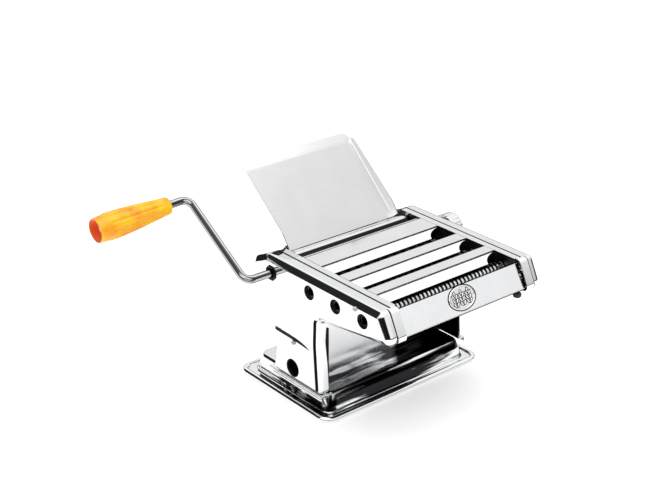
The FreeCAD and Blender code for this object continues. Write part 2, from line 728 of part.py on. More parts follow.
def crank_grip():
    """Hollow-ended plastic handle, slim at the arm and swelling outward."""
    long = math.hypot(GRIP_START - GRIP_END, (GRIP_START - GRIP_END) * GRIP_DROP)
    spline = Part.BSplineCurve()
    spline.interpolate([V(-3.0, 9.6, 0), V(-12, 9.2, 0), V(-38, 11.4, 0), V(-60, 13.6, 0),
                        V(-72, 14.2, 0), V(-long + 3, 13.6, 0)])
    edges = [Part.makeLine(V(0, 0, 0), V(0, 8.2, 0))]
    edges.append(Part.Arc(V(0, 8.2, 0), V(-1.0, 9.3, 0), V(-3.0, 9.6, 0)).toShape())
    edges.append(spline.toShape())
    edges.append(Part.Arc(V(-long + 3, 13.6, 0), V(-long + 0.7, 12.9, 0), V(-long, 11.6, 0)).toShape())
    edges.append(Part.makeLine(V(-long, 11.6, 0), V(-long, 0, 0)))
    edges.append(Part.makeLine(V(-long, 0, 0), V(0, 0, 0)))
    body = Part.Face(Part.Wire(edges)).revolve(V(0, 0, 0), V(1, 0, 0), 360)
    for i in range(10):
        a = math.radians(36 * i)
        start = V(-16.0, 11.9 * math.cos(a), 11.9 * math.sin(a))
        stop = V(-70.0, 16.0 * math.cos(a), 16.0 * math.sin(a))
        groove = Part.makeCylinder(2.4, (stop - start).Length, start, stop - start)
        groove = groove.fuse(Part.makeSphere(2.4, start))
        body = body.cut(groove)
    body = body.cut(Part.makeCylinder(3.2 + RUNNING, 200, V(50, 0, 0), V(-1, 0, 0)))
    recess = Part.makeCone(8.6, 9.8, long - 76.0 + 0.5, V(-76.0, 0, 0), V(-1, 0, 0))
    return on_handle(body.cut(recess))


# ---- dough tray -------------------------------------------------------------------------
TRAY_FOOT = (34.3, 146.1)
TRAY_UP = (0.7337, 0.6794)


def on_tray(points, x0, x1):
    """Prism across the tray from (along, outward) points of its section."""
    ring = []
    for along, out in points:
        y = TRAY_FOOT[0] + along * TRAY_UP[0] - out * TRAY_UP[1]
        z = TRAY_FOOT[1] + along * TRAY_UP[1] + out * TRAY_UP[0]
        ring.append(V(x0, y, z))
    return Part.Face(Part.makePolygon(ring + [ring[0]])).extrude(V(x1 - x0, 0, 0))


def dough_tray():
    """Removable sheet tray: sloping floor, two side walls, a bent upper lip."""
    floor = on_tray([(0, 0), (102.0, 0), (102.0, -0.8), (0, -0.8)], -75, 75)
    lip = on_tray([(102.0, 0), (108.0, -0.9), (108.0, -1.7), (102.0, -0.8)], -75, 75)
    for side in (-1, 1):
        a = V(side * 75, 0, 0)
        lip_corner = on_tray([(100.0, 9), (110.0, 9), (110.0, -9), (100.0, -9)],
                             min(side * 66, side * 76), max(side * 66, side * 76))
        y = TRAY_FOOT[0] + 100.0 * TRAY_UP[0]
        z = TRAY_FOOT[1] + 100.0 * TRAY_UP[1]
        keep = Part.makeCylinder(9.0, 40, V(side * 66, y - 20 * -TRAY_UP[1], z - 20 * TRAY_UP[0]),
                                 V(0, -TRAY_UP[1], TRAY_UP[0]))
        lip = lip.cut(lip_corner.cut(keep))
    wall = [(0, 0), (100.5, 0), (100.5, 5.2), (97.0, 6.2), (14.4, 11.2), (-3.5, 8.5)]
    left = on_tray(wall, -75, -74.2)
    right = on_tray(wall, 74.2, 75)
    tray = floor.fuse(lip).fuse(left).fuse(right)
    for side in (-1, 1):
        x0 = side * 60 - 6
        hook = block(x0, x0 + 12, 34.6, 35.6, 138.8, 146.4)
        tray = tray.fuse(hook)
    return tray


def tray_pins():
    left = rod(1.8, -FRAME_X, -77.2, 15.0, 151.3)
    return group([left, mirrored(left)])


def rubber_stop():
    """Small rubber button under the front panel's right end."""
    button = Part.makeCylinder(4.4, 5.0, V(72.5, -153.8, 117.2), V(0, 0, 1))
    edges = [e for e in button.Edges if abs(e.BoundBox.ZMax - 117.2) < 1e-3]
    return button.makeFillet(2.4, edges).cut(front_cover())


def main():
    os.makedirs("parts", exist_ok=True)
    save("base_plate", base_plate())
    save("foot_rails", foot_rails())
    save("left_cover", left_cover())
    save("right_cover", right_cover())
    save("clamp_socket", clamp_socket())
    save("cover_screws", cover_screws())
    save("left_frame", tie_holes(left_frame()))
    save("right_frame", tie_holes(right_frame()))
    save("tie_rods", tie_rods())
    save("tie_nuts", tie_nuts())
    save("front_cover", front_cover())
    save("medallion", medallion())
    save("rear_cover", rear_cover())
    save("column_panel", column_panel())
    save("slat_1", slat_1())
    save("slat_2", slat_2())
    save("slat_3", slat_3())
    save("scrapers", scrapers())
    save("drive_roller", drive_roller())
    save("drive_gear", drive_gear())
    save("adjust_roller", adjust_roller())
    save("adjust_gear", adjust_gear())
    save("left_block", left_block())
    save("right_block", right_block())
    save("gap_dial", gap_dial())
    save("dial_screw", dial_screw())
    save("roller_bushes", roller_bushes())
    save("cutter_bushes", cutter_bushes())
    for i in range(3):
        n = str(i + 1)
        save("cutter_drive_" + n, cutter_drive(i))
        save("cutter_driven_" + n, cutter_driven(i))
        save("cutter_gear_drive_" + n, cutter_gear_drive(i))
        save("cutter_gear_driven_" + n, cutter_gear_driven(i))
        save("combs_" + n, combs(i))
    save("crank_rod", crank_rod())
    save("grip_rivet", grip_rivet())
    save("crank_grip", crank_grip())
    save("dough_tray", dough_tray())
    save("tray_pins", tray_pins())
    save("rubber_stop", rubber_stop())


main()
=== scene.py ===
import json
import math

import bmesh
import bpy
from bpy.props import FloatProperty, FloatVectorProperty, IntProperty, PointerProperty
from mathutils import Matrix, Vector

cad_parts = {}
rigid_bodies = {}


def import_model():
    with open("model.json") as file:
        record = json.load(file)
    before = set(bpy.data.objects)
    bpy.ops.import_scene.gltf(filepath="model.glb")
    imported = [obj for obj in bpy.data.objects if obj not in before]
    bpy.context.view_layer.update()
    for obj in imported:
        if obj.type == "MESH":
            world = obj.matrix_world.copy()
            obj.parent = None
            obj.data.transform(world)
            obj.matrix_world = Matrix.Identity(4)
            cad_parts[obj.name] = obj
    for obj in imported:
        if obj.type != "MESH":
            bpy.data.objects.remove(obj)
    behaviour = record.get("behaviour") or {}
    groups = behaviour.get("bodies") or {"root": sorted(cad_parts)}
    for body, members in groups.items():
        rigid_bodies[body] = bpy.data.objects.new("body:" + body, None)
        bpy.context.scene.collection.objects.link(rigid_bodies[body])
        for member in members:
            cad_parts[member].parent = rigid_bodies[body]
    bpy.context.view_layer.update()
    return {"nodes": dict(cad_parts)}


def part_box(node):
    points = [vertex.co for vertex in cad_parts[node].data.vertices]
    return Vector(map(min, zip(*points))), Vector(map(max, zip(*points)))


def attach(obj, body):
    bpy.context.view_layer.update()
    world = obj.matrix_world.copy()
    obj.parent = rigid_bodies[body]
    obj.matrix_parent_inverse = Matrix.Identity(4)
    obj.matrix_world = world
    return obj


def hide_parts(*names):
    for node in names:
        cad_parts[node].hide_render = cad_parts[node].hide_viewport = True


bl_info = {
    "name": "Pasta roller machine",
    "version": (1, 0, 0),
    "blender": (4, 5, 0),
    "location": "3D View > Sidebar > Pasta machine",
    "description": "Builds a hand-cranked pasta machine around its packed frame",
    "category": "Object",
}

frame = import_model()
MM = 0.001


def linear(text):
    """Linear colour from an sRGB hex value."""
    out = []
    for i in (1, 3, 5):
        c = int(text[i:i + 2], 16) / 255.0
        out.append(c / 12.92 if c <= 0.04045 else ((c + 0.055) / 1.055) ** 2.4)
    return tuple(out)


# ---- sizes in mm; the height and width of the head come from the frame ------------------
LEFT_LOW, LEFT_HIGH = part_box("left_cover")
TOP = LEFT_HIGH[2] / MM
COVER_X = -LEFT_LOW[0] / MM
SKIRT_X = 92.5
LIP_X = 88.0
FRAME_X = 80.0
DECK_Z = 24.0
# (y, z) of the axes that run across the machine
DRIVE_AXIS = (18.1, 135.2)
DIAL_AXIS = (-14.6, 135.2)
CLAMP_AXIS = (-15.1, 40.2)
CUTTER_AXES = ((-42.6, 135.8), (-82.2, 135.8), (-121.8, 135.8))
# (y, z) of the front panel's upper bend, lower bend and the badge's middle
PANEL_TOP = Vector((-142.7, 149.3))
PANEL_FOOT = Vector((-156.6, 124.3))
PANEL_MIDDLE = Vector((-148.8, 138.3))
BADGE_HALF_WIDTH = 16.2
BADGE_HALF_HEIGHT = 11.3
# number, rear edge and ridge of each slat
SLATS = ((1, -7.0, -31.5), (2, -58.0, -73.6), (3, -98.9, -113.1))
# size of the large, slow variation in each kind of finish
HAZE_MM = 26
DRIFT_MM = 18
STREAK_MM = 6.5
WAVE_MM = 30
PAPER_MM = 2.5


class SheetSizes(bpy.types.PropertyGroup):
    cover_bend: FloatProperty(
        name="Cover bend", description="How far the rolled edge of a side cover reaches in, mm",
        default=8.0, min=4.0, max=10.0)
    cover_fall: FloatProperty(
        name="Cover fall", description="How far the rolled edge falls over that reach, mm",
        default=6.4, min=3.0, max=6.8)
    sheet: FloatProperty(
        name="Sheet thickness", description="Cover and base sheet, mm", default=1.0, min=0.5, max=1.5)
    slat_sheet: FloatProperty(
        name="Slat thickness", description="Slat sheet, mm", default=0.9, min=0.5, max=1.5)


class GripSizes(bpy.types.PropertyGroup):
    flutes: IntProperty(name="Flutes", description="Long hollows round the grip", default=10, min=4, max=16)
    flute_depth: FloatProperty(
        name="Flute depth", description="Depth of a flute, mm", default=1.4, min=0.2, max=2.0)


class DialSizes(bpy.types.PropertyGroup):
    ribs: IntProperty(name="Ribs", description="Grip ribs round the dial", default=20, min=8, max=60)


class Colours(bpy.types.PropertyGroup):
    steel: FloatVectorProperty(
        name="Polished steel", description="Reflected colour of the polished sheet", subtype="COLOR",
        size=3, min=0.0, max=1.0, default=linear("#EFF0F1"))
    grip: FloatVectorProperty(
        name="Grip", description="Colour of the grip's plastic", subtype="COLOR",
        size=3, min=0.0, max=1.0, default=linear("#FFCC06"))
    floor: FloatVectorProperty(
        name="Floor", description="Colour of the studio floor", subtype="COLOR",
        size=3, min=0.0, max=1.0, default=linear("#F6F6F6"))


class MachineSettings(bpy.types.PropertyGroup):
    sheet: PointerProperty(type=SheetSizes)
    grip: PointerProperty(type=GripSizes)
    dial: PointerProperty(type=DialSizes)
    colours: PointerProperty(type=Colours)


def settings():
    return bpy.context.scene.pasta_machine


# ---- materials --------------------------------------------------------------------------
METAL = {"Metallic": 1.0}


def add_node(tree, kind, options=None, links=None):
    """Adds one node, sets its options, ramp stops and sockets, and joins its inputs."""
    node = tree.nodes.new(kind)
    for key, value in (options or {}).items():
        if key == "stops":
            bar = node.color_ramp.elements
            while len(bar) < len(value):
                bar.new(0.5)
            for element, (place, tone) in zip(bar, value):
                element.position = place
                element.color = (tuple(tone) if len(tone) == 3 else (tone[0],) * 3) + (1.0,)
        elif isinstance(key, str) and hasattr(node, key):
            setattr(node, key, value)
        else:
            node.inputs[key].default_value = value
    for key, source in (links or {}).items():
        tree.links.new(source, node.inputs[key])
    return node


def start_material(name):
    """Empty material, its node tree, and the place on the surface in metres."""
    mat = bpy.data.materials.new(name)
    mat.use_nodes = True
    mat.node_tree.nodes.clear()
    tree = mat.node_tree
    return mat, tree, add_node(tree, "ShaderNodeTexCoord").outputs["Object"]


def close_material(tree, options, tint, rough, height, bump, depth_mm):
    """Joins colour, roughness and height to the surface."""
    lift = add_node(tree, "ShaderNodeBump", {"Strength": bump, "Distance": depth_mm * MM},
                    {"Height": height}).outputs["Normal"]
    shader = add_node(tree, "ShaderNodeBsdfPrincipled", options,
                      {"Base Color": tint, "Roughness": rough, "Normal": lift})
    add_node(tree, "ShaderNodeOutputMaterial", None, {"Surface": shader.outputs["BSDF"]})


def multiply_colour(tree, keep):
    """Multiplies the surface's colour by keep."""
    shader = next(n for n in tree.nodes if n.type == "BSDF_PRINCIPLED")
    colour = shader.inputs["Base Color"].links[0].from_socket
    mixed = add_node(tree, "ShaderNodeVectorMath", {"operation": "MULTIPLY"}, {0: colour, 1: keep})
    tree.links.new(mixed.outputs["Vector"], shader.inputs["Base Color"])


def finish_metal(name, colour, rough, grain_mm, stretch, bump, smudge=0.05, dark=0.95):
    """A metal whose roughness and height come from its grain, its smudges and fine marks."""
    mat, tree, place = start_material(name)
    mapped = add_node(tree, "ShaderNodeMapping", {"Scale": stretch}, {"Vector": place}).outputs["Vector"]
    grain = add_node(tree, "ShaderNodeTexNoise", {"Scale": 1.0 / (grain_mm * MM), "Detail": 3.0},
                     {"Vector": mapped}).outputs["Fac"]
    haze = add_node(tree, "ShaderNodeTexNoise",
                    {"Scale": 1.0 / (HAZE_MM * MM), "Detail": 4.0, "Roughness": 0.6},
                    {"Vector": place}).outputs["Fac"]
    rub = add_node(tree, "ShaderNodeMath", {"operation": "MULTIPLY", 1: smudge}, {0: haze}).outputs[0]
    fine = add_node(tree, "ShaderNodeMath", {"operation": "MULTIPLY_ADD", 1: rough * 0.8, 2: rough * 0.6},
                    {0: grain}).outputs[0]
    total = add_node(tree, "ShaderNodeMath", {"operation": "ADD"}, {0: fine, 1: rub}).outputs[0]
    low = tuple(c * dark for c in colour)
    tint = add_node(tree, "ShaderNodeValToRGB", {"stops": ((0.35, low), (0.62, colour))},
                    {"Fac": haze}).outputs["Color"]
    close_material(tree, METAL, tint, total, grain, bump, 0.02)
    return mat


def paint_reflection_lines(tree):
    """Painted reflection: dark and bright lines along the bar, set by how squarely it faces the camera, dark
    where it is seen at a slant.
    """
    slant = add_node(tree, "ShaderNodeLayerWeight", {"Blend": 0.5}).outputs["Facing"]
    stops = ((0.0, (0.9,)), (0.05, (0.75,)), (0.09, (0.06,)), (0.17, (0.10,)), (0.26, (0.8,)),
             (0.48, (0.62,)), (0.66, (0.05,)), (1.0, (0.2,)))
    keep = add_node(tree, "ShaderNodeValToRGB", {"stops": stops}, {"Fac": slant}).outputs["Color"]
    multiply_colour(tree, keep)


def paint_facing_shade(tree, low, high):
    """Painted shade: darkens one flank between two slants to the front, as shade down in the gap of a roller
    pair and under a guide.
    """
    facing = add_node(tree, "ShaderNodeNewGeometry").outputs["Normal"]
    parts = add_node(tree, "ShaderNodeSeparateXYZ", None, {"Vector": facing})
    keep = add_node(tree, "ShaderNodeMapRange", {"From Min": low, "From Max": high, "To Min": 0.015},
                    {"Value": parts.outputs["Y"]}).outputs["Result"]
    multiply_colour(tree, keep)


def finish_plastic(name, colour, deep, rough, grain_mm, bump, ior=1.5):
    """A moulded material with a fine skin texture and a slow drift of colour."""
    mat, tree, place = start_material(name)
    skin = add_node(tree, "ShaderNodeTexNoise", {"Scale": 1.0 / (grain_mm * MM), "Detail": 2.0},
                    {"Vector": place}).outputs["Fac"]
    drift = add_node(tree, "ShaderNodeTexNoise", {"Scale": 1.0 / (DRIFT_MM * MM), "Detail": 3.0},
                     {"Vector": place}).outputs["Fac"]
    tint = add_node(tree, "ShaderNodeValToRGB", {"stops": ((0.35, deep), (0.65, colour))},
                    {"Fac": drift}).outputs["Color"]
    worn = add_node(tree, "ShaderNodeMath", {"operation": "MULTIPLY_ADD", 1: rough * 0.6, 2: rough * 0.7},
                    {0: drift}).outputs[0]
    close_material(tree, {"IOR": ior}, tint, worn, skin, bump, 0.05)
    return mat


def finish_painted_reflection(name, bright, deep, rough):
    """Polished sheet with a painted dark reflection that breaks into light streaks along the walls, clear at
    the rear.
    """
    mat, tree, place = start_material(name)
    along = add_node(tree, "ShaderNodeMapping", {"Scale": (0.10, 0.55, 1.0)},
                     {"Vector": place}).outputs["Vector"]
    streak = add_node(tree, "ShaderNodeTexNoise",
                      {"Scale": 1.0 / (STREAK_MM * MM), "Detail": 3.0, "Roughness": 0.5, "Distortion": 0.35},
                      {"Vector": along}).outputs["Fac"]
    stops = ((0.0, deep), (0.51, deep), (0.57, tuple(c * 0.45 for c in bright)), (0.63, bright))
    dark = add_node(tree, "ShaderNodeValToRGB", {"stops": stops}, {"Fac": streak}).outputs["Color"]
    parts = add_node(tree, "ShaderNodeSeparateXYZ", None, {"Vector": place})
    rear = add_node(tree, "ShaderNodeMapRange", {"From Min": 16 * MM, "From Max": 24 * MM, "To Max": 0.8},
                    {"Value": parts.outputs["Y"]}).outputs["Result"]
    tint = add_node(tree, "ShaderNodeVectorMath", {"operation": "MAXIMUM"},
                    {0: dark, 1: rear}).outputs["Vector"]
    fine = add_node(tree, "ShaderNodeMath", {"operation": "MULTIPLY_ADD", 1: rough * 2.0, 2: rough * 0.5},
                    {0: streak}).outputs[0]
    close_material(tree, METAL, tint, fine, streak, 0.08, 0.04)
    return mat


def finish_column(name, bright, deep, rough):
    """Polished sheet with painted shade past a soft upright line."""
    mat, tree, place = start_material(name)
    wave = add_node(tree, "ShaderNodeTexNoise", {"Scale": 1.0 / (WAVE_MM * MM), "Detail": 3.0},
                    {"Vector": place}).outputs["Fac"]
    parts = add_node(tree, "ShaderNodeSeparateXYZ", None, {"Vector": place})
    shifted = add_node(tree, "ShaderNodeMath", {"operation": "MULTIPLY_ADD", 1: 12 * MM},
                       {0: wave, 2: parts.outputs["X"]}).outputs[0]
    side = add_node(tree, "ShaderNodeMapRange", {"From Min": 26 * MM, "From Max": 34 * MM},
                    {"Value": shifted}).outputs["Result"]
    tint = add_node(tree, "ShaderNodeValToRGB", {"stops": ((0.0, bright), (1.0, deep))},
                    {"Fac": side}).outputs["Color"]
    fine = add_node(tree, "ShaderNodeMath", {"operation": "MULTIPLY_ADD", 1: rough, 2: rough * 0.8},
                    {0: wave}).outputs[0]
    close_material(tree, METAL, tint, fine, wave, 0.05, 0.1)
    return mat


MATERIALS = {}


def make_materials():
    steel = tuple(settings().colours.steel)
    grip = tuple(settings().colours.grip)
    # Stainless sheet, bright rolled and mirror polished: clear reflections, faint polishing lines.
    MATERIALS["mirror_sheet"] = finish_metal(
        "stainless_mirror_polished", steel, 0.035, 1.2, (0.12, 1.0, 1.0), 0.03, 0.03)
    # The slanted guides, painted light: the same sheet coloured whiter than the flats beside them, with soft
    # reflections along them.
    MATERIALS["guide_sheet"] = finish_metal(
        "stainless_painted_light", linear("#FBFBFB"), 0.08, 0.9, (0.04, 1.0, 1.0), 0.04, 0.04, 0.99)
    # The same sheet on the narrow slats, polished along their length: pale grey, faintly drawn out.
    MATERIALS["slat_sheet"] = finish_metal(
        "stainless_polished_lengthwise", linear("#EEEEEF"), 0.10, 0.9, (0.04, 1.0, 1.0), 0.05, 0.05)
    # Stainless sheet with a soft satin finish: an even pale grey without clear reflections.
    MATERIALS["satin_sheet"] = finish_metal(
        "stainless_satin_brushed", linear("#D4D4D4"), 0.20, 0.7, (0.05, 1.0, 1.0), 0.06, 0.06, 0.97)
    # The pressed plinth and its deck: painted dark reflection with light streaks along each wall.
    MATERIALS["streaked_sheet"] = finish_painted_reflection(
        "stainless_painted_dark_reflection", steel, linear("#242427"), 0.05)
    # The cross panel of the column, polished, with painted shade toward its right side.
    MATERIALS["column_sheet"] = finish_column("stainless_polished_painted_shade", steel, linear("#161618"), 0.16)
    # Painted shade: a dark sheet behind the turned edges, where the sheet is doubled and light does not
    # reach.
    MATERIALS["seam"] = finish_metal(
        "steel_seam_painted_shade", linear("#161617"), 0.35, 0.8, (1.0, 1.0, 0.3), 0.10, 0.10, 0.7)
    # Mild steel plate, cold rolled and oiled: dark inside the head.
    MATERIALS["dark_plate"] = finish_metal(
        "steel_plate_oiled", linear("#5C5D60"), 0.30, 1.5, (1.0, 0.15, 1.0), 0.15, 0.12, 0.75)
    # Drive roller, ground and chromed: one clean bright line along it, with painted shade on its flank down
    # in the gap.
    MATERIALS["roller"] = finish_metal(
        "steel_ground_chromed", linear("#F4F4F5"), 0.06, 0.6, (0.2, 1.0, 1.0), 0.05, 0.04)
    paint_facing_shade(MATERIALS["roller"].node_tree, -0.36, -0.27)
    # The adjusting roller, the same ground steel in a near-black colour: painted shade beside its bright
    # neighbour.
    MATERIALS["roller_painted_shade"] = finish_metal(
        "steel_ground_painted_shade", linear("#2E2F31"), 0.20, 0.6, (0.2, 1.0, 1.0), 0.06, 0.08, 0.8)
    # Cutters, turned and chromed, in a near-black colour: painted shade down in the head, dull between the
    # rings, with a fine glint on each.
    MATERIALS["cutter"] = finish_metal(
        "steel_turned_chromed_painted_shade", linear("#37383B"), 0.16, 0.5, (1.0, 0.2, 0.2), 0.10, 0.08, 0.8)
    # Crank bar, drawn and chromed, with painted reflection: bright lines along it between two dark edges.
    MATERIALS["bar"] = finish_metal(
        "steel_bar_chromed_painted_reflection", linear("#DCDDDF"), 0.045, 1.0, (1.0, 0.3, 0.3), 0.03, 0.04)
    paint_reflection_lines(MATERIALS["bar"].node_tree)
    # The narrow cutter at the front, the same chromed steel in a bright colour: painted glints so its rings
    # glint one by one, and painted shade on their tops under the guide.
    MATERIALS["cutter_bright"] = finish_metal(
        "steel_turned_chromed_painted_glint", linear("#E4E5E7"), 0.12, 0.5, (1.0, 0.2, 0.2), 0.10, 0.05, 0.7)
    paint_facing_shade(MATERIALS["cutter_bright"].node_tree, -0.44, -0.58)
    # Screws, nuts and pins, zinc plated: soft grey without clear reflections.
    MATERIALS["zinc"] = finish_metal(
        "steel_zinc_plated", linear("#BFC1C4"), 0.22, 0.6, (1.0, 1.0, 1.0), 0.12, 0.10, 0.85)
    # Gears, hobbed and oiled: mid grey teeth with a slight sheen.
    MATERIALS["gear"] = finish_metal(
        "steel_hobbed_oiled", linear("#6E7074"), 0.28, 0.8, (0.3, 1.0, 1.0), 0.15, 0.10, 0.8)
    # Dial and badge, turned aluminium: silky white metal with fine turning lines.
    MATERIALS["dial"] = finish_metal(
        "aluminium_turned_bright", linear("#EEEEEF"), 0.14, 0.5, (1.0, 0.3, 0.3), 0.06, 0.06, 0.95)
    # ABS, injection moulded and glossy: strong orange with a clear highlight.
    MATERIALS["grip"] = finish_plastic(
        "abs_moulded_gloss", grip, linear("#FB9D00"), 0.30, 0.9, 0.05)
    # The hollow of the grip, same plastic in a deeper orange red: painted shade inside the hollow.
    MATERIALS["grip_inside"] = finish_plastic(
        "abs_moulded_painted_shade", linear("#F5660A"), linear("#EB5205"), 0.40, 0.9, 0.05)
    # Rubber, pressed: near black and matt, with a grainy skin.
    MATERIALS["rubber"] = finish_plastic(
        "rubber_pressed_matt", linear("#141414"), linear("#0B0B0B"), 0.6, 0.5, 0.25, 1.52)
    # Nylon, moulded in its own colour: warm off-white with a dull shine.
    MATERIALS["nylon"] = finish_plastic(
        "nylon_moulded_natural", linear("#DAD7CB"), linear("#CFCBBE"), 0.45, 0.6, 0.08, 1.53)


# ---- mesh building ----------------------------------------------------------------------
def add_mesh(name, verts, faces, merge):
    """Object in metres from millimetre points, its faces turned outward."""
    mesh = bpy.data.meshes.new(name)
    mesh.from_pydata([(v[0] * MM, v[1] * MM, v[2] * MM) for v in verts], [], faces)
    bm = bmesh.new()
    bm.from_mesh(mesh)
    if merge:
        bmesh.ops.remove_doubles(bm, verts=bm.verts, dist=1e-6)
    bmesh.ops.recalc_face_normals(bm, faces=bm.faces)
    bm.to_mesh(mesh)
    bm.free()
    obj = bpy.data.objects.new(name, mesh)
    bpy.context.scene.collection.objects.link(obj)
    return obj


def put_object(name, verts, faces, material, body, slot, nodes=(), smooth_angle=32.0):
    """Visible piece on a body, shaded smooth below the given angle."""
    obj = add_mesh(name, verts, faces, True)
    obj.data.materials.append(MATERIALS[material])
    shade(obj, smooth_angle)
    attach(obj, body)
    if nodes:
        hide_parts(*nodes)
    return obj


def shade(obj, angle):
    mesh = obj.data
    bm = bmesh.new()
    bm.from_mesh(mesh)
    for face in bm.faces:
        face.smooth = True
    for edge in bm.edges:
        if len(edge.link_faces) == 2:
            edge.smooth = edge.calc_face_angle(0.0) < math.radians(angle)
    bm.to_mesh(mesh)
    bm.free()


def rings_to_mesh(rings, close_start, close_end, wrap=False):
    """Vertices and faces through rings of equal length."""
    count = len(rings[0])
    verts = [p for ring in rings for p in ring]
    faces = []
    total = len(rings) if wrap else len(rings) - 1
    for i in range(total):
        a, b = i * count, ((i + 1) % len(rings)) * count
        for j in range(count):
            k = (j + 1) % count
            faces.append((a + j, a + k, b + k, b + j))
    if close_start:
        faces.append(tuple(reversed(range(count))))
    if close_end:
        last = (len(rings) - 1) * count
        faces.append(tuple(range(last, last + count)))
    return verts, faces


def put_rings(name, rings, *rest):
    """Piece through rings, closed at both ends."""
    return put_object(name, *rings_to_mesh(rings, True, True), *rest)


def plan_ring(half_x, half_y, r, z, seg=10):
    """Rounded rectangle in plan, seg steps per corner."""
    out = []
    for cx, cy, start in ((1, 1, 0), (-1, 1, 90), (-1, -1, 180), (1, -1, 270)):
        for i in range(seg + 1):
            a = math.radians(start + 90.0 * i / seg)
            out.append((cx * (half_x - r) + r * math.cos(a), cy * (half_y - r) + r * math.sin(a), z))
    return out


def side_ring(points, inset, x, seg=8):
    """Closed outline of (y, z, radius) corners, drawn in by inset and put at x."""
    n = len(points)
    area = sum(points[i - 1][0] * points[i][1] - points[i][0] * points[i - 1][1] for i in range(n))
    turn = 1.0 if area > 0 else -1.0
    lines = []
    for i in range(n):
        a, b = Vector(points[i][:2]), Vector(points[(i + 1) % n][:2])
        d = (b - a).normalized()
        inward = Vector((-d.y, d.x)) * turn
        lines.append((a + inward * inset, d))
    out = []
    for i in range(n):
        p0, d0 = lines[i - 1]
        p1, d1 = lines[i]
        cross = d0.x * d1.y - d0.y * d1.x
        t = ((p1.x - p0.x) * d1.y - (p1.y - p0.y) * d1.x) / cross
        corner = p0 + d0 * t
        convex = cross * turn > 0
        r = points[i][2] - inset if convex else points[i][2] + inset
        half = math.acos(max(-1.0, min(1.0, -d0.dot(d1)))) / 2
        reach = r / math.tan(half)
        middle = (d1 - d0).normalized()
        centre = corner + middle * (r / math.sin(half))
        a0 = corner - d0 * reach - centre
        a1 = corner + d1 * reach - centre
        start = math.atan2(a0.y, a0.x)
        sweep = math.atan2(a0.x * a1.y - a0.y * a1.x, a0.dot(a1))
        for k in range(seg + 1):
            a = start + sweep * k / seg
            out.append((x, centre.x + r * math.cos(a), centre.y + r * math.sin(a)))
    return out


def fillet_path(points, seg=6):
    """Open path of (a, b, radius) points with rounded corners."""
    out = [Vector(points[0][:2])]
    for i in range(1, len(points) - 1):
        p = Vector(points[i][:2])
        a = (Vector(points[i - 1][:2]) - p).normalized()
        b = (Vector(points[i + 1][:2]) - p).normalized()
        r = points[i][2]
        if r <= 0:
            out.append(p)
            continue
        half = math.acos(max(-1.0, min(1.0, a.dot(b)))) / 2
        reach = r / math.tan(half)
        centre = p + (a + b).normalized() * (r / math.sin(half))
        v0, v1 = p + a * reach - centre, p + b * reach - centre
        start = math.atan2(v0.y, v0.x)
        sweep = math.atan2(v0.x * v1.y - v0.y * v1.x, v0.dot(v1))
        for k in range(seg + 1):
            t = start + sweep * k / seg
            out.append(centre + Vector((math.cos(t), math.sin(t))) * r)
    out.append(Vector(points[-1][:2]))
    return out


def doubled(path, thick):
    """Closed outline of a sheet: along the path, and back at the sheet's thickness."""
    back = []
    last = len(path) - 1
    for i, point in enumerate(path):
        d = (path[min(i + 1, last)] - path[max(i - 1, 0)]).normalized()
        back.append(point + Vector((-d.y, d.x)) * thick)
    return list(path) + list(reversed(back))


def bent_sheet(name, path, x0, x1, thick, material, slot, nodes=()):
    """Sheet of the frame, bent along a (y, z) path and running from x0 to x1."""
    rings = [[(x, p.x, p.y) for p in doubled(path, thick)] for x in (x0, x1)]
    obj = put_rings(name, rings, material, "frame", slot, nodes, 28.0)
    soften(obj, 0.18)
    return obj


def soften(obj, width):
    """Small rounding on every sharp edge."""
    mod = obj.modifiers.new("edge_rounding", "BEVEL")
    mod.width = width * MM
    mod.segments = 2
    mod.limit_method = "ANGLE"
    mod.angle_limit = math.radians(40.0)


def revolve(profile, around, seg=96, wobble=None):
    """Rings from (along, radius) points; around maps (along, y, z) to a place."""
    rings = []
    for i, (along, r) in enumerate(profile):
        ring = []
        for j in range(seg):
            a = 2 * math.pi * j / seg
            rr = r + (wobble(i, a) if wobble else 0.0)
            ring.append(around(along, rr * math.cos(a), rr * math.sin(a)))
        rings.append(ring)
    return rings


def plate(name, low, high, material, body, slot, nodes, width):
    """Flat block between two corners, edges rounded by width."""
    (x0, y0, z0), (x1, y1, z1) = low, high
    rings = [[(x0, y0, z), (x1, y0, z), (x1, y1, z), (x0, y1, z)] for z in (z0, z1)]
    soften(put_rings(name, rings, material, body, slot, nodes), width)


def drill(obj, cutters):
    """Takes the cutters out of obj and bakes the result into its mesh."""
    for cutter in cutters:
        mod = obj.modifiers.new("drill", "BOOLEAN")
        mod.operation = "DIFFERENCE"
        mod.solver = "EXACT"
        mod.object = cutter
    graph = bpy.context.evaluated_depsgraph_get()
    mesh = bpy.data.meshes.new_from_object(obj.evaluated_get(graph))
    obj.modifiers.clear()
    old = obj.data
    obj.data = mesh
    bpy.data.meshes.remove(old)
    for cutter in cutters:
        bpy.data.objects.remove(cutter)


def circle(r, x, y, z, seg, start=0.0):
    """Ring about an axis along x, its first point moved on by a share of one step."""
    out = []
    for j in range(seg):
        a = 2 * math.pi * (j + start) / seg
        out.append((x, y + r * math.cos(a), z + r * math.sin(a)))
    return out


def drill_x(r, x0, x1, axis):
    """Round cutter along x."""
    rings = [circle(r, x, axis[0], axis[1], 48) for x in (x0, x1)]
    return add_mesh("cutter", *rings_to_mesh(rings, True, True), False)


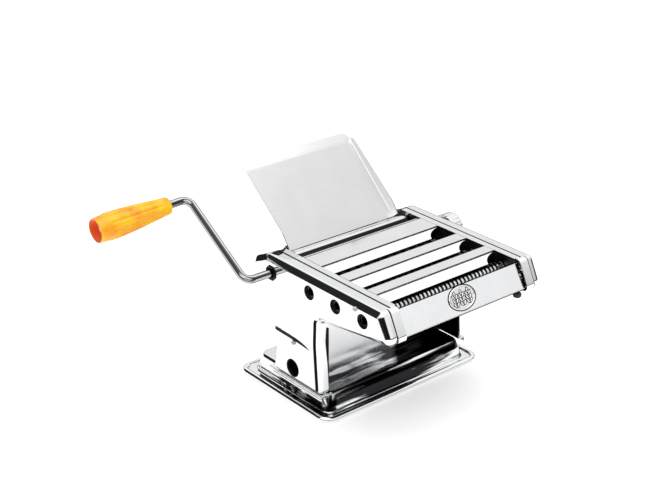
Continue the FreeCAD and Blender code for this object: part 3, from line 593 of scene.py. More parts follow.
# ---- base -------------------------------------------------------------------------------
def build_base():
    """Pressed pan from the rolled rim up the plinth to its deck, with its underside."""
    rim_x, rim_y, rim_r, rim_z, corner = 106.1, 71.6, 3.4, 3.0, 10.6
    rings = []
    for i in range(19):
        a = math.radians(-168 + 318 * i / 18.0)
        out = rim_r * math.cos(a)
        z = max(0.0, rim_z + rim_r * math.sin(a))
        rings.append(plan_ring(rim_x + out, rim_y + out, corner + out, z))
    rings.append(plan_ring(rim_x - 3.5, rim_y - 3.5, corner - 3.5, 3.75))
    rings.append(plan_ring(rim_x - 4.4, rim_y - 4.4, 7.2, 3.6))
    wall = [(98.4, 66.3, 3.6), (97.5, 65.3, 3.75), (96.6, 64.4, 4.4), (96.1, 63.8, 5.6),
            (95.2, 62.6, 10.0), (94.2, 61.2, 14.6), (93.2, 59.8, 18.4), (92.6, 59.0, 20.6),
            (92.0, 58.3, 22.2), (91.2, 57.4, 23.3), (90.2, 56.4, 23.85), (89.0, 55.2, DECK_Z)]
    for hx, hy, z in wall:
        rings.append(plan_ring(hx, hy, 13.0 - (98.4 - hx) * 0.6, z))
    rings.append(plan_ring(60, 30, 3.0, DECK_Z))
    under = [(60, 30, 3.0, 23.0), (89.0, 55.2, 6.0, 23.0), (91.6, 58.0, 7.6, 20.0),
             (94.6, 62.0, 9.4, 4.6), (97.2, 64.8, 11.0, 2.6), (102.9, 68.4, 7.4, 2.6)]
    for hx, hy, r, z in under:
        rings.append(plan_ring(hx, hy, r, z))
    verts, faces = rings_to_mesh(rings, False, False, True)
    count = len(rings[0])
    deck = len(rings) - len(under) - 1
    faces = [f for f in faces if not (f[0] // count == deck and f[2] // count == deck + 1)]
    faces.append(tuple(range(deck * count, (deck + 1) * count)))
    faces.append(tuple(reversed(range((deck + 1) * count, (deck + 2) * count))))
    obj = put_object("base_pan", verts, faces, "mirror_sheet", "frame", "polished_steel", ["base_plate"],
                     40.0)
    # Painted dark reflection with light streaks on the plinth's walls and deck, chosen face by face below.
    obj.data.materials.append(MATERIALS["streaked_sheet"])
    for face in obj.data.polygons:
        z = face.center.z / MM
        inside = abs(face.center.x / MM) < 98 and abs(face.center.y / MM) < 66
        if inside and z > 4.2 and face.normal.z > 0.05:
            face.material_index = 1


# ---- side covers ------------------------------------------------------------------------
# (y, z, corner radius) round a side cover
COVER_OUTLINE = (
    (-145.6, TOP, 7.0), (-161.3, 121.8, 7.0), (-55.5, 107.8, 5.0), (-54.4, 80.0, 90.0),
    (-58.6, 24.0, 7.0), (20.6, 24.0, 7.0), (19.3, 40.0, 40.0), (9.4, 80.0, 18.0),
    (11.6, 105.0, 22.0), (52.3, 117.6, 9.0), (51.9, 136.0, 9.0), (49.2, 142.8, 6.2),
    (28.0, TOP, 12.0))


# The rolled edge from the top (0, 0) to the side (1, 1): a short turn, a long lean, a short turn.
BEND_SHAPE = ((0.0, 0.0), (0.18, 0.02), (0.32, 0.06), (0.44, 0.13), (0.54, 0.22), (0.63, 0.33),
              (0.71, 0.45), (0.785, 0.57), (0.85, 0.69), (0.905, 0.80), (0.95, 0.89), (0.98, 0.955),
              (1.0, 1.0))


def cover_rings(side):
    """Outer rings from the skirt over the rolled edge to the face, and inner ones back."""
    bend, fall = settings().sheet.cover_bend, settings().sheet.cover_fall
    sheet = settings().sheet.sheet
    rings = [side_ring(COVER_OUTLINE, 0.0, side * SKIRT_X)]
    for reach, drop in BEND_SHAPE:
        rings.append(side_ring(COVER_OUTLINE, fall * drop, side * (COVER_X - bend * (1 - reach))))
    inner = []
    for reach, drop in BEND_SHAPE:
        x = COVER_X - bend + (bend - sheet) * reach
        inner.append(side_ring(COVER_OUTLINE, sheet + (fall - sheet) * drop, side * x))
    inner.append(side_ring(COVER_OUTLINE, fall + 0.4, side * (COVER_X - sheet)))
    rings.append(side_ring(COVER_OUTLINE, fall + 0.4, side * COVER_X))
    return rings, list(reversed(inner)) + [side_ring(COVER_OUTLINE, sheet, side * SKIRT_X)]


def build_crease(side):
    """Painted shade: a dark strip at the bottom of the pressed line over the waist."""
    path = ((12.8, 75.6, 1.9), (4.0, 75.4, 2.1), (-10.0, 75.2, 2.1), (-22.0, 74.8, 2.0),
            (-30.0, 74.0, 1.7), (-37.0, 72.9, 1.1), (-42.6, 71.6, 0.2))
    rings = []
    x = COVER_X + 0.06
    for y, z, half in path:
        rings.append([(side * x, y, z - half), (side * x, y, z + half),
                      (side * (x - 0.5), y, z + half), (side * (x - 0.5), y, z - half)])
    put_rings("cover_crease", rings, "seam", "frame", "polished_steel")


def build_cover(side):
    """Side cover shell with its holes, painted shade on the bend at the neck, and its turned top lip."""
    name = "left" if side < 0 else "right"
    outer, inner = cover_rings(side)
    count = len(outer[0])
    rings = outer + inner
    verts, faces = rings_to_mesh(rings, False, False, True)
    seam = len(outer) - 1
    faces = [f for f in faces if f[0] // count != seam]
    faces.append(tuple(range(seam * count, (seam + 1) * count)))
    faces.append(tuple(reversed(range((seam + 1) * count, (seam + 2) * count))))
    obj = put_object(name + "_cover_shell", verts, faces, "mirror_sheet", "frame", "polished_steel",
                     [name + "_cover"], 40.0)
    if side < 0:
        holes = [(8.0, DRIVE_AXIS)] + [(7.6, axis) for axis in CUTTER_AXES] + [(10.0, CLAMP_AXIS)]
    else:
        holes = [(9.2, DIAL_AXIS)]
    drill(obj, [drill_x(r, side * COVER_X - 5, side * COVER_X + 5, axis) for r, axis in holes])
    shade(obj, 40.0)
    build_crease(side)
    obj.data.materials.append(MATERIALS["seam"])
    # Painted shade: faces of the bend beside the neck take the dark seam material.
    for face in obj.data.polygons:
        x, y, z = (abs(face.center.x) / MM, face.center.y / MM, face.center.z / MM)
        if COVER_X - 1.75 < x < COVER_X - 0.05 and -64.0 < y < -46.0 and z < 109.0:
            face.material_index = 1
    lip_x = sorted((side * (LIP_X + 0.9), side * (SKIRT_X + 0.4)))
    plate(name + "_cover_lip", (lip_x[0], -141.0, TOP - 1.0), (lip_x[1], 27.0, TOP), "mirror_sheet",
          "frame", "polished_steel", (), 0.45)


def build_covers():
    for side in (-1, 1):
        build_cover(side)


def build_bearing_rings():
    """Painted shade: dark bearing collars seen in the holes of the left cover."""
    collars = [("drive_collar", DRIVE_AXIS, 8.3, -105.4, -98.0, 8)]
    collars += [("cutter_collar", axis, 9.0, -103.0, -102.2, 40) for axis in CUTTER_AXES]
    for name, axis, outer, x0, x1, seg in collars:
        rings = [circle(r, x, axis[0], axis[1], seg, 0.5)
                 for x, r in ((x0, 5.6), (x0, outer), (x1, outer), (x1, 5.6))]
        verts, faces = rings_to_mesh(rings, False, False, True)
        put_object(name, verts, faces, "seam", "frame", "frame_steel")


# ---- panels -----------------------------------------------------------------------------
def panel_place(u, v, w):
    """Point on the front panel: u across, v up its slope, w out of it."""
    down = (PANEL_FOOT - PANEL_TOP).normalized()
    out = Vector((down.y, -down.x))
    p = PANEL_MIDDLE - down * v + out * w
    return (u - 1.0, p.x, p.y)


def build_front_panel():
    down = (PANEL_FOOT - PANEL_TOP).normalized()
    back = Vector((-down.y, down.x))
    path = [PANEL_TOP + back * 5.0 - down * 0.2, PANEL_TOP, PANEL_FOOT, PANEL_FOOT + back * 5.0]
    path = fillet_path([(p.x, p.y, 1.6) for p in path], 6)
    bent_sheet("front_panel", path, -81.4, 81.4, 0.8, "mirror_sheet", "polished_steel", ["front_cover"])


def build_panel_edges():
    """Painted shade: dark seams round the front panel, where it meets its neighbours."""
    for name, v0, v1 in (("panel_top_seam", 12.2, 12.9), ("panel_foot_seam", -15.9, -15.2)):
        section = ((v0, 0.02), (v1, 0.02), (v1, -0.5), (v0, -0.5))
        rings = [[panel_place(u, v, w) for v, w in section] for u in (-80.2, 82.2)]
        put_rings(name, rings, "seam", "frame", "polished_steel")
    for name, u0, u1 in (("panel_left_seam", -81.3, -80.3), ("panel_right_seam", 82.3, 83.3)):
        section = ((u0, 0.0), (u1, 0.0), (u1, -0.6), (u0, -0.6))
        rings = [[panel_place(u, v, w) for u, w in section] for v in (-15.6, 12.6)]
        put_rings(name, rings, "seam", "frame", "polished_steel")


def dome(cu, cv, ru, rv, tilt, base, height):
    """Rings of a flat oval dome on the front panel, without its tip."""
    rows, seg = 5, 28
    rings = []
    for i in range(rows):
        t = math.pi / 2 * i / rows
        ring = []
        for j in range(seg):
            a = 2 * math.pi * j / seg
            lu, lv = ru * math.cos(t) * math.cos(a), rv * math.cos(t) * math.sin(a)
            u = cu + lu * math.cos(tilt) - lv * math.sin(tilt)
            v = cv + lu * math.sin(tilt) + lv * math.cos(tilt)
            ring.append(panel_place(u, v, base + height * math.sin(t)))
        rings.append(ring)
    return rings


def wheat_ears(ru, rv, base, height):
    """Three upright ears, each of three pairs of grains and one at its tip."""
    grains = []
    for ear in (-8.6, 0.0, 8.6):
        for row in range(3):
            for side in (-1, 1):
                place = (ear + side * 2.0, -5.2 + 3.9 * row)
                grains.append(dome(*place, ru, rv, -side * 0.6, base, height))
        grains.append(dome(ear, 5.4, ru, rv, 0.0, base, height))
    return grains


def oval_rings(shape):
    """Rings round the badge from (share of its size, height) points."""
    rings = []
    for share, height in shape:
        ring = []
        for j in range(72):
            a = 2 * math.pi * j / 72
            ring.append(panel_place(BADGE_HALF_WIDTH * share * math.cos(a),
                                    BADGE_HALF_HEIGHT * share * math.sin(a), height))
        rings.append(ring)
    return rings


def build_badge():
    """Pressed oval badge: a raised hem, a sunk field and three wheat ears, with painted shade in its recess.
    """
    hem = oval_rings(((1.06, -0.1), (1.05, 0.35), (1.03, 0.75), (1.0, 0.95), (0.965, 0.9), (0.94, 0.6),
                      (0.93, 0.25), (0.90, 0.15)))
    recess = oval_rings(((1.14, -0.2), (1.14, 0.10), (1.05, 0.14), (1.05, -0.2)))
    for name, rim, closed, grains, material, nodes, angle in (
            ("oval_badge", hem, True, wheat_ears(1.1, 2.3, 0.1, 0.85), "dial", ["medallion"], 50.0),
            ("oval_badge_recess", recess, False, wheat_ears(2.0, 3.3, 0.0, 0.42), "seam", (), 32.0)):
        verts, faces = rings_to_mesh(rim, False, closed)
        for grain in grains:
            more, more_faces = rings_to_mesh(grain, False, True)
            faces.extend(tuple(len(verts) + k for k in f) for f in more_faces)
            verts.extend(more)
        put_object(name, verts, faces, material, "frame", "polished_steel", nodes, angle)


def build_column_panel():
    """Cross panel with its wings turned forward, and painted shade along the edges of the columns."""
    corners = [(-91.4, -52.5, 0), (-91.4, -27.9, 2.0), (91.4, -27.9, 2.0), (91.4, -52.5, 0)]
    loop = doubled(fillet_path(corners, 6), 0.8)
    rings = [[(p.x, p.y, z) for p in loop] for z in (DECK_Z + 0.05, 103.5)]
    put_rings("column_cross_panel", rings, "column_sheet", "frame", "polished_steel", ["column_panel"],
              28.0)
    for side in (-1, 1):
        x = sorted((side * 92.2, side * 90.9))
        plate("column_seam", (x[0], -56.6, 24.2), (x[1], -52.6, 98.0), "seam", "frame", "polished_steel",
              (), 0.2)


def build_rear_panel():
    path = fillet_path([(42.4, 116.0, 0), (50.2, 120.2, 2.0), (50.0, 136.0, 3.0), (48.8, 139.8, 0)], 5)
    bent_sheet("rear_panel", path, -79.8, 79.8, 0.8, "mirror_sheet", "polished_steel", ["rear_cover"])


def build_foot_rails():
    for side in (-1, 1):
        x = sorted((side * 101.5, side * 93.2))
        plate("foot_rail_top", (x[0], -57.0, 22.8), (x[1], 28.0, 24.0), "mirror_sheet", "frame",
              "polished_steel", ["foot_rails"] if side < 0 else (), 0.3)
        x = sorted((side * 101.4, side * 100.4))
        for low, high in ((20.6, 22.5), (18.0, 20.2)):
            plate("foot_rail_leg", (x[0], -57.0, low), (x[1], 22.0, high), "mirror_sheet", "frame",
                  "polished_steel", (), 0.3)


# ---- slats ------------------------------------------------------------------------------
def build_slat(index, rear, ridge):
    """Flat top, folded ridge and the guide that slants down to the rollers."""
    sheet = settings().sheet.slat_sheet
    name = "slat_%d" % index
    if index == 1:
        start = [(rear + 8.2, 150.3, 0), (rear + 6.9, 151.5, 0.8), (rear + 3.2, 151.9, 0.6)]
        start.append((rear + 2.2, TOP, 0.8))
    else:
        start = [(rear, TOP - 3.4, 0), (rear, TOP, 0.9)]
    path = fillet_path(start + [(ridge, TOP, 0.8), (ridge, TOP - 1.7, 0)], 5)
    bent_sheet(name + "_top", path, -79.6, 79.6, sheet, "slat_sheet", "slat_steel", [name])
    low = ridge - 11.7
    outline = [(-79.4, 0.0), (77.6, 0.0), (72.0, 0.10), (67.2, 0.26), (63.4, 0.48), (60.8, 0.74),
               (59.6, 1.0), (-79.4, 1.0)]
    verts = []
    for lift in (0.0, -0.7):
        for x, t in outline:
            y = ridge - 0.9 + (low - ridge + 0.9) * t
            verts.append((x, y, TOP - 0.9 - (TOP - 0.9 - 147.5) * t + lift))
    n = len(outline)
    faces = [tuple(range(n)), tuple(reversed(range(n, 2 * n)))]
    for j in range(n):
        faces.append((j, (j + 1) % n, n + (j + 1) % n, n + j))
    obj = put_object(name + "_guide", verts, faces, "guide_sheet", "frame", "slat_steel")
    soften(obj, 0.2)
    # Painted shade along the ridge, and on slat 1 behind its rear edge.
    painted_shade_line(name + "_ridge_seam", -79.4, 79.2, ridge - 0.12, ridge + 0.62, TOP + 0.05)
    if index == 1:
        painted_shade_line(name + "_rear_seam", -79.4, 79.2, rear + 1.7, rear + 2.6, TOP + 0.06)


def build_slats():
    for number, rear, ridge in SLATS:
        build_slat(number, rear, ridge)


def painted_shade_line(name, x0, x1, y0, y1, z):
    """Painted shade: a narrow dark strip where two folds of the sheet meet."""
    plate(name, (x0, y0, z - 0.5), (x1, y1, z), "seam", "frame", "slat_steel", (), 0.08)


# ---- frames -----------------------------------------------------------------------------
def build_frame_lips():
    """Turned edges of the two frames: the front flanges and the lips beside the slats."""
    flange = fillet_path([(-138.0, 152.6, 0), (-146.2, 152.6, 5.5), (-161.6, 121.9, 5.6),
                          (-149.0, 120.5, 0)], 8)
    edge = fillet_path([(-141.0, 152.7, 0), (-146.3, 152.7, 5.5), (-161.7, 121.8, 5.6),
                        (-152.0, 120.7, 0)], 8)
    for side in (-1, 1):
        x = sorted((side * 81.8, side * 92.6))
        # The front flange takes the whiter copy of the sheet: painted light.
        bent_sheet("frame_front_flange", flange, x[0], x[1], 0.8, "guide_sheet", "frame_steel")
        x = sorted((side * 91.9, side * 92.8))
        # Painted shade: dark strips beside the front flange and beside the lip.
        bent_sheet("front_flange_seam", edge, x[0], x[1], 0.8, "seam", "frame_steel")
        seam = sorted((side * (LIP_X - 0.9), side * (LIP_X + 1.1)))
        plate("frame_lip_seam", (seam[0], -141.5, TOP - 0.9), (seam[1], 27.0, TOP + 0.09), "seam",
              "frame", "frame_steel", (), 0.1)
        x = sorted((side * (FRAME_X - 0.02), side * (LIP_X - 0.7)))
        plate("frame_lip_left" if side < 0 else "frame_lip_right", (x[0], -140.2, TOP - 0.5), (x[1],
              26.0, TOP + 0.06), "mirror_sheet", "frame", "frame_steel", (), 0.3)


# ---- tray -------------------------------------------------------------------------------
TRAY_FOOT = (34.3, 146.1)
TRAY_UP = (0.7337, 0.6794)


def tray_place(x, along, out):
    """Point on the tray: across, up its slope and out of its floor."""
    return (x, TRAY_FOOT[0] + along * TRAY_UP[0] - out * TRAY_UP[1],
            TRAY_FOOT[1] + along * TRAY_UP[1] + out * TRAY_UP[0])


def build_tray():
    """Floor with its side walls, the bent upper lip and the two hooks at the foot."""
    # place along the floor, then place and height of the wall's edge
    rows = [(-2.8, -3.5, 8.5), (7.0, 6.5, 10.2), (14.4, 14.4, 11.2), (40.0, 40.0, 9.6),
            (70.0, 70.0, 7.8), (94.0, 94.0, 6.2), (98.9, 98.0, 3.6)]
    # x and height over the floor; None is the wall's edge
    columns = [(-75.0, None)]
    for i in range(6):
        a = math.radians(90 * i / 5.0)
        columns.append((-75.0 + 1.6 * (1 - math.cos(a)), 1.6 * (1 - math.sin(a))))
    columns += [(-x, h) for x, h in reversed(columns)]
    verts, faces = [], []
    for along, wall_along, wall_out in rows:
        for x, h in columns:
            verts.append(tray_place(x, wall_along, wall_out) if h is None else tray_place(x, along, h))
    n = len(columns)
    for i in range(len(rows) - 1):
        for j in range(n - 1):
            a = i * n + j
            faces.append((a, a + 1, a + n + 1, a + n))
    obj = put_object("dough_tray_floor", verts, faces, "satin_sheet", "tray", "tray_steel",
                     ["dough_tray"], 50.0)
    # The side walls take the whiter copy of the sheet: painted light.
    obj.data.materials.append(MATERIALS["guide_sheet"])
    for face in obj.data.polygons:
        if abs(face.center.x) / MM > 74.2:
            face.material_index = 1
    mod = obj.modifiers.new("sheet", "SOLIDIFY")
    mod.thickness = 0.8 * MM
    mod.offset = 0.0
    verts = []
    outline = []
    for i in range(9):
        a = math.radians(90 - 90 * i / 8.0)
        outline.append((66 + 9 * math.cos(a), 99.0 + 9 * math.sin(a)))
    outline.append((75.0, 97.2))
    full = [(-x, v) for x, v in reversed(outline)] + outline
    for lift in (0.5, -0.3):
        for x, v in full:
            verts.append(tray_place(x, v, lift - max(0.0, v - 102.0) * 0.15))
    n = len(full)
    faces = [tuple(range(n)), tuple(reversed(range(n, 2 * n)))]
    for j in range(n):
        k = (j + 1) % n
        faces.append((j, k, n + k, n + j))
    obj = put_object("dough_tray_lip", verts, faces, "satin_sheet", "tray", "tray_steel")
    soften(obj, 0.2)
    for x in (-66, 54):
        plate("dough_tray_hook", (x, 34.6, 138.8), (x + 12, 35.5, 146.6), "satin_sheet", "tray",
              "tray_steel", (), 0.2)


# ---- crank ------------------------------------------------------------------------------
GRIP_START = Vector((-161.0, 114.2, 192.96))
GRIP_DIR = Vector((-109.6, 0.0, -6.0)).normalized()


def grip_place(along, y, z):
    up = Vector((GRIP_DIR.z, 0.0, -GRIP_DIR.x))
    p = GRIP_START + GRIP_DIR * along + Vector((0, 1, 0)) * y + up * z
    return (p.x, p.y, p.z)


def build_grip():
    """Swelling grip with long flutes, a plain collar and a hollow end with painted shade."""
    flutes, depth = settings().grip.flutes, settings().grip.flute_depth
    shape = [(0.0, 7.2), (0.3, 8.4), (1.2, 9.1), (3.0, 9.5), (7.0, 9.6)]
    for i in range(1, 25):
        t = i / 24.0
        shape.append((7.0 + 64.0 * t, 9.6 + 4.6 * math.sin(math.pi / 2 * t) ** 1.15))
    shape += [(72.6, 14.1), (73.2, 13.65), (76.0, 13.5), (82.0, 13.1), (84.4, 12.8), (85.2, 12.4),
              (85.3, 12.1), (84.9, 11.7), (83.0, 11.5), (76.6, 10.9), (76.3, 10.5), (76.2, 5.2)]

    def wobble(i, a):
        along, r = shape[i]
        if along <= 9.0 or along >= 72.0 or r < 9.0:
            return 0.0
        start = min(1.0, (along - 9.0) / 6.0)
        stop = min(1.0, (72.0 - along) / 3.0)
        wave = max(0.0, math.cos(flutes * a)) ** 1.6
        return -depth * wave * start * stop

    rings = revolve(shape, grip_place, 144, wobble)
    obj = put_rings("grip_moulding", rings, "grip", "grip", "grip_plastic", ["crank_grip"], 40.0)
    obj.visible_glossy = False
    # The hollow end takes the deeper orange: painted shade.
    obj.data.materials.append(MATERIALS["grip_inside"])
    for face in obj.data.polygons:
        across = Vector(face.center) / MM - GRIP_START
        along = across.dot(GRIP_DIR)
        if along > 76.0 and (across - GRIP_DIR * along).length < 12.0:
            face.material_index = 1


def build_rivet():
    shape = [(75.6, 5.0), (77.2, 5.0), (77.8, 4.6), (78.0, 3.2), (78.9, 2.9), (79.4, 2.0), (79.6, 0.6)]
    rings = revolve(shape, grip_place, 40)
    put_rings("grip_rivet_head", rings, "zinc", "crank", "screw_steel", ["grip_rivet"])


# ---- dial and button --------------------------------------------------------------------
def dial_place(along, y, z):
    return (105.4 + along, DIAL_AXIS[0] + y, DIAL_AXIS[1] + z)


def build_dial():
    """Turned dial with grip ribs, and the dark cap over its screw."""
    ribs = settings().dial.ribs
    shape = [(-8.0, 8.9), (0.0, 8.9), (0.05, 16.2), (0.6, 16.9), (3.0, 17.0), (12.0, 16.8), (14.0, 16.4),
             (15.2, 15.2), (15.6, 13.4), (15.4, 11.5), (14.9, 10.5), (14.9, 4.4), (14.6, 3.9), (14.6, 0.4)]

    def wobble(i, a):
        along, r = shape[i]
        if r < 16.0 or along < 0.5:
            return 0.0
        return -0.55 * max(0.0, math.cos(ribs * a)) ** 2

    rings = revolve(shape, dial_place, 240, wobble)
    put_rings("dial_turned", rings, "dial", "dial", "dial_metal", ["gap_dial"], 35.0)
    cap = [(14.5, 3.4), (16.2, 3.4), (16.8, 3.0), (17.0, 2.0), (17.05, 0.3)]
    rings = revolve(cap, dial_place, 32)
    put_rings("dial_cap", rings, "rubber", "dial", "screw_steel", ["dial_screw"])


def build_button():
    shape = [(0.0, 4.0), (0.4, 4.3), (2.0, 4.4), (3.6, 4.1), (4.5, 3.2), (4.9, 1.8), (5.0, 0.3)]

    def place(along, y, z):
        return (72.5 + y, -153.9 + z, 122.2 - along)

    rings = revolve(shape, place, 40)
    put_rings("rest_button", rings, "rubber", "frame", "button_rubber", ["rubber_stop"])


# ---- pieces kept from the frame ---------------------------------------------------------
KEPT = {
    "dark_plate": ["left_frame", "right_frame", "combs_1", "combs_2", "combs_3", "scrapers", "tie_rods",
                   "clamp_socket"],
    "zinc": ["tie_nuts", "cover_screws", "tray_pins"],
    "roller": ["drive_roller"],
    "roller_painted_shade": ["adjust_roller"],
    "bar": ["crank_rod"],
    "nylon": ["roller_bushes", "cutter_bushes", "left_block", "right_block"],
}


def finish_kept():
    """Gives the frame's own pieces their metal."""
    done = dict(KEPT)
    done["cutter"] = [n for n in frame["nodes"] if n.startswith("cutter_dr")]
    done["gear"] = [n for n in frame["nodes"] if "gear" in n]
    done["cutter_bright"] = ["cutter_drive_3"]
    for key, nodes in done.items():
        for node in nodes:
            obj = frame["nodes"][node]
            obj.data.materials.clear()
            obj.data.materials.append(MATERIALS[key])


def even_shading():
    """Lets large flat faces keep their own direction beside small rounded edges."""
    kept = list(frame["nodes"].values())
    for obj in list(bpy.context.scene.objects):
        if obj.type == "MESH" and obj not in kept:
            mod = obj.modifiers.new("even_shading", "WEIGHTED_NORMAL")
            mod.keep_sharp = True
            mod.weight = 60


# ---- stage ------------------------------------------------------------------------------
def build_floor():
    half = 6.0
    mesh = bpy.data.meshes.new("studio_floor")
    mesh.from_pydata([(-half, -half, 0), (half, -half, 0), (half, half, 0), (-half, half, 0)], [],
                     [(0, 1, 2, 3)])
    obj = bpy.data.objects.new("studio_floor", mesh)
    bpy.context.scene.collection.objects.link(obj)
    # Matt white paper with a faint fibre; it glows a little so that it stays plain.
    mat, tree, place = start_material("paper_matt_white")
    fibre = add_node(tree, "ShaderNodeTexNoise", {"Scale": 1.0 / (PAPER_MM * MM), "Detail": 2.0},
                     {"Vector": place}).outputs["Fac"]
    base = tuple(settings().colours.floor)
    stops = ((0.3, tuple(c * 0.985 for c in base)), (0.7, base))
    tint = add_node(tree, "ShaderNodeValToRGB", {"stops": stops}, {"Fac": fibre}).outputs["Color"]
    options = {"Roughness": 0.9, "Specular IOR Level": 0.2, "Emission Strength": 0.40}
    shader = add_node(tree, "ShaderNodeBsdfPrincipled", options,
                      {"Base Color": tint, "Emission Color": tint})
    add_node(tree, "ShaderNodeOutputMaterial", None, {"Surface": shader.outputs["BSDF"]})
    mesh.materials.append(mat)


# direction, full and faded half angle in degrees, and share of light taken away by each dark flag
FLAGS = (((-0.45, 0.70, 0.47), 22, 28, 0.98), ((-0.62, -0.74, 0.27), 15, 21, 0.98),
         ((0.585, 0.70, 0.41), 12, 26, 0.10), ((0.84, -0.44, 0.33), 7, 17, 0.5))


def smooth_spot(tree, direction, toward, inner, outer):
    """1 inside a cone about a direction of the sky, 0 outside it."""
    dot = add_node(tree, "ShaderNodeVectorMath", {"operation": "DOT_PRODUCT",
                                                  1: Vector(toward).normalized()}, {0: direction})
    node = add_node(tree, "ShaderNodeMapRange", {
        "interpolation_type": "SMOOTHSTEP", "From Min": math.cos(math.radians(outer)),
        "From Max": math.cos(math.radians(inner)), "To Min": 0.0, "To Max": 1.0},
        {"Value": dot.outputs["Value"]})
    return node.outputs["Result"]


def build_sky():
    """White tent with a dark skirt near the horizon and four dark flags."""
    world = bpy.data.worlds.new("light_tent")
    bpy.context.scene.world = world
    world.use_nodes = True
    tree = world.node_tree
    tree.nodes.clear()
    look = add_node(tree, "ShaderNodeTexCoord").outputs["Generated"]
    parts = add_node(tree, "ShaderNodeSeparateXYZ", None, {"Vector": look})
    height = add_node(tree, "ShaderNodeMapRange", {"From Min": -0.2, "From Max": 1.0},
                      {"Value": parts.outputs["Z"]}).outputs["Result"]
    stops = ((0.0, (0.01,)), (0.30, (0.015,)), (0.335, (0.62,)), (0.40, (1.0,)), (1.0, (1.15,)))
    total = add_node(tree, "ShaderNodeValToRGB", {"stops": stops}, {"Fac": height}).outputs["Color"]
    for toward, inner, outer, depth in FLAGS:
        spot = smooth_spot(tree, look, toward, inner, outer)
        keep = add_node(tree, "ShaderNodeMath", {"operation": "MULTIPLY_ADD", 1: -depth, 2: 1.0},
                        {0: spot}).outputs[0]
        total = add_node(tree, "ShaderNodeVectorMath", {"operation": "MULTIPLY"},
                         {0: total, 1: keep}).outputs["Vector"]
    back = add_node(tree, "ShaderNodeBackground", {"Strength": 1.0}, {"Color": total})
    add_node(tree, "ShaderNodeOutputWorld", None, {"Surface": back.outputs["Background"]})


def build_lights():
    for name, place, power, size in (("overhead_panel", (0.1, -0.1, 1.9), 9.0, 1.7),
                                     ("front_panel_light", (-1.3, -1.3, 1.2), 2.5, 1.0)):
        data = bpy.data.lights.new(name, "AREA")
        data.energy = power
        data.shape = "SQUARE"
        data.size = size
        lamp = bpy.data.objects.new(name, data)
        lamp.location = place
        lamp.rotation_euler = (Vector((0, 0, 0.08)) - Vector(place)).to_track_quat("-Z", "Y").to_euler()
        bpy.context.scene.collection.objects.link(lamp)


def build_camera():
    data = bpy.data.cameras.new("view")
    data.sensor_width = 36.0
    data.lens = 71.94
    data.clip_start = 0.05
    data.clip_end = 30.0
    cam = bpy.data.objects.new("view", data)
    cam.location = (-0.8266, -0.9425, 0.7032)
    cam.rotation_euler = (math.radians(65.67), 0.0, math.radians(-39.76))
    bpy.context.scene.collection.objects.link(cam)
    bpy.context.scene.camera = cam
    bpy.context.scene.view_settings.view_transform = "Standard"


# ---- operators --------------------------------------------------------------------------
class BuildStep:
    """Runs the functions listed in steps, in their order."""
    steps = ()

    def execute(self, context):
        for step in self.steps:
            step()
        return {"FINISHED"}


class PASTA_OT_materials(BuildStep, bpy.types.Operator):
    """Makes the metals and plastics"""
    bl_idname = "pasta.materials"
    bl_label = "Materials"
    steps = (make_materials,)


class PASTA_OT_base(BuildStep, bpy.types.Operator):
    """Builds the pressed base pan and the rails beside its plinth"""
    bl_idname = "pasta.base"
    bl_label = "Base"
    steps = (build_base, build_foot_rails)


class PASTA_OT_covers(BuildStep, bpy.types.Operator):
    """Builds the two side covers with their holes and pressed line"""
    bl_idname = "pasta.covers"
    bl_label = "Side covers"
    steps = (build_covers, build_bearing_rings)


class PASTA_OT_panels(BuildStep, bpy.types.Operator):
    """Builds the front, rear and column panels"""
    bl_idname = "pasta.panels"
    bl_label = "Panels"
    steps = (build_front_panel, build_panel_edges, build_column_panel, build_rear_panel)


class PASTA_OT_badge(BuildStep, bpy.types.Operator):
    """Builds the oval badge"""
    bl_idname = "pasta.badge"
    bl_label = "Badge"
    steps = (build_badge,)


class PASTA_OT_slats(BuildStep, bpy.types.Operator):
    """Builds the three slats and the turned edges of the frames"""
    bl_idname = "pasta.slats"
    bl_label = "Slats"
    steps = (build_slats, build_frame_lips)


class PASTA_OT_tray(BuildStep, bpy.types.Operator):
    """Builds the dough tray"""
    bl_idname = "pasta.tray"
    bl_label = "Dough tray"
    steps = (build_tray,)


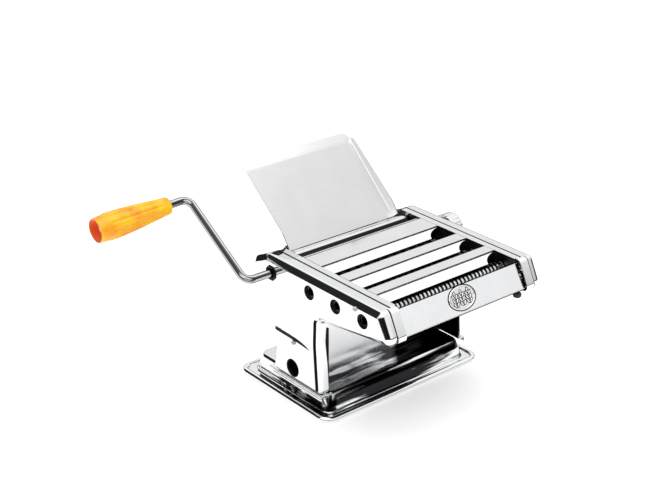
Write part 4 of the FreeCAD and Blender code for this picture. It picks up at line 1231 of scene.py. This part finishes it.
class PASTA_OT_grip(BuildStep, bpy.types.Operator):
    """Builds the grip and its rivet"""
    bl_idname = "pasta.grip"
    bl_label = "Grip"
    steps = (build_grip, build_rivet)


class PASTA_OT_dial(BuildStep, bpy.types.Operator):
    """Builds the gap dial"""
    bl_idname = "pasta.dial"
    bl_label = "Dial"
    steps = (build_dial,)


class PASTA_OT_button(BuildStep, bpy.types.Operator):
    """Builds the rubber button under the front panel"""
    bl_idname = "pasta.button"
    bl_label = "Rest button"
    steps = (build_button,)


class PASTA_OT_inner(BuildStep, bpy.types.Operator):
    """Gives the rollers, cutters, gears, crank bar and fasteners their finish"""
    bl_idname = "pasta.inner"
    bl_label = "Rollers and inner parts"
    steps = (finish_kept, even_shading)


class PASTA_OT_stage(BuildStep, bpy.types.Operator):
    """Sets up the floor, the light tent and the camera"""
    bl_idname = "pasta.stage"
    bl_label = "Stage"
    steps = (build_floor, build_sky, build_lights, build_camera)


OPERATORS = (PASTA_OT_materials, PASTA_OT_base, PASTA_OT_covers, PASTA_OT_panels, PASTA_OT_badge,
             PASTA_OT_slats, PASTA_OT_tray, PASTA_OT_grip, PASTA_OT_dial, PASTA_OT_button,
             PASTA_OT_inner, PASTA_OT_stage)


class PASTA_PT_panel(bpy.types.Panel):
    """Sidebar panel of the pasta machine"""
    bl_label = "Pasta machine"
    bl_idname = "PASTA_PT_panel"
    bl_space_type = "VIEW_3D"
    bl_region_type = "UI"
    bl_category = "Pasta machine"

    def draw(self, context):
        for operator in OPERATORS:
            self.layout.operator(operator.bl_idname)


CLASSES = (SheetSizes, GripSizes, DialSizes, Colours, MachineSettings) + OPERATORS + (PASTA_PT_panel,)


def register():
    for cls in CLASSES:
        bpy.utils.register_class(cls)
    bpy.types.Scene.pasta_machine = PointerProperty(type=MachineSettings)


def unregister():
    del bpy.types.Scene.pasta_machine
    for cls in reversed(CLASSES):
        bpy.utils.unregister_class(cls)


def main():
    register()
    for operator in OPERATORS:
        group, name = operator.bl_idname.split(".")
        result = getattr(getattr(bpy.ops, group), name)()
        if result != {"FINISHED"}:
            raise RuntimeError(operator.bl_idname + " did not finish")


if __name__ == "__main__":
    main()
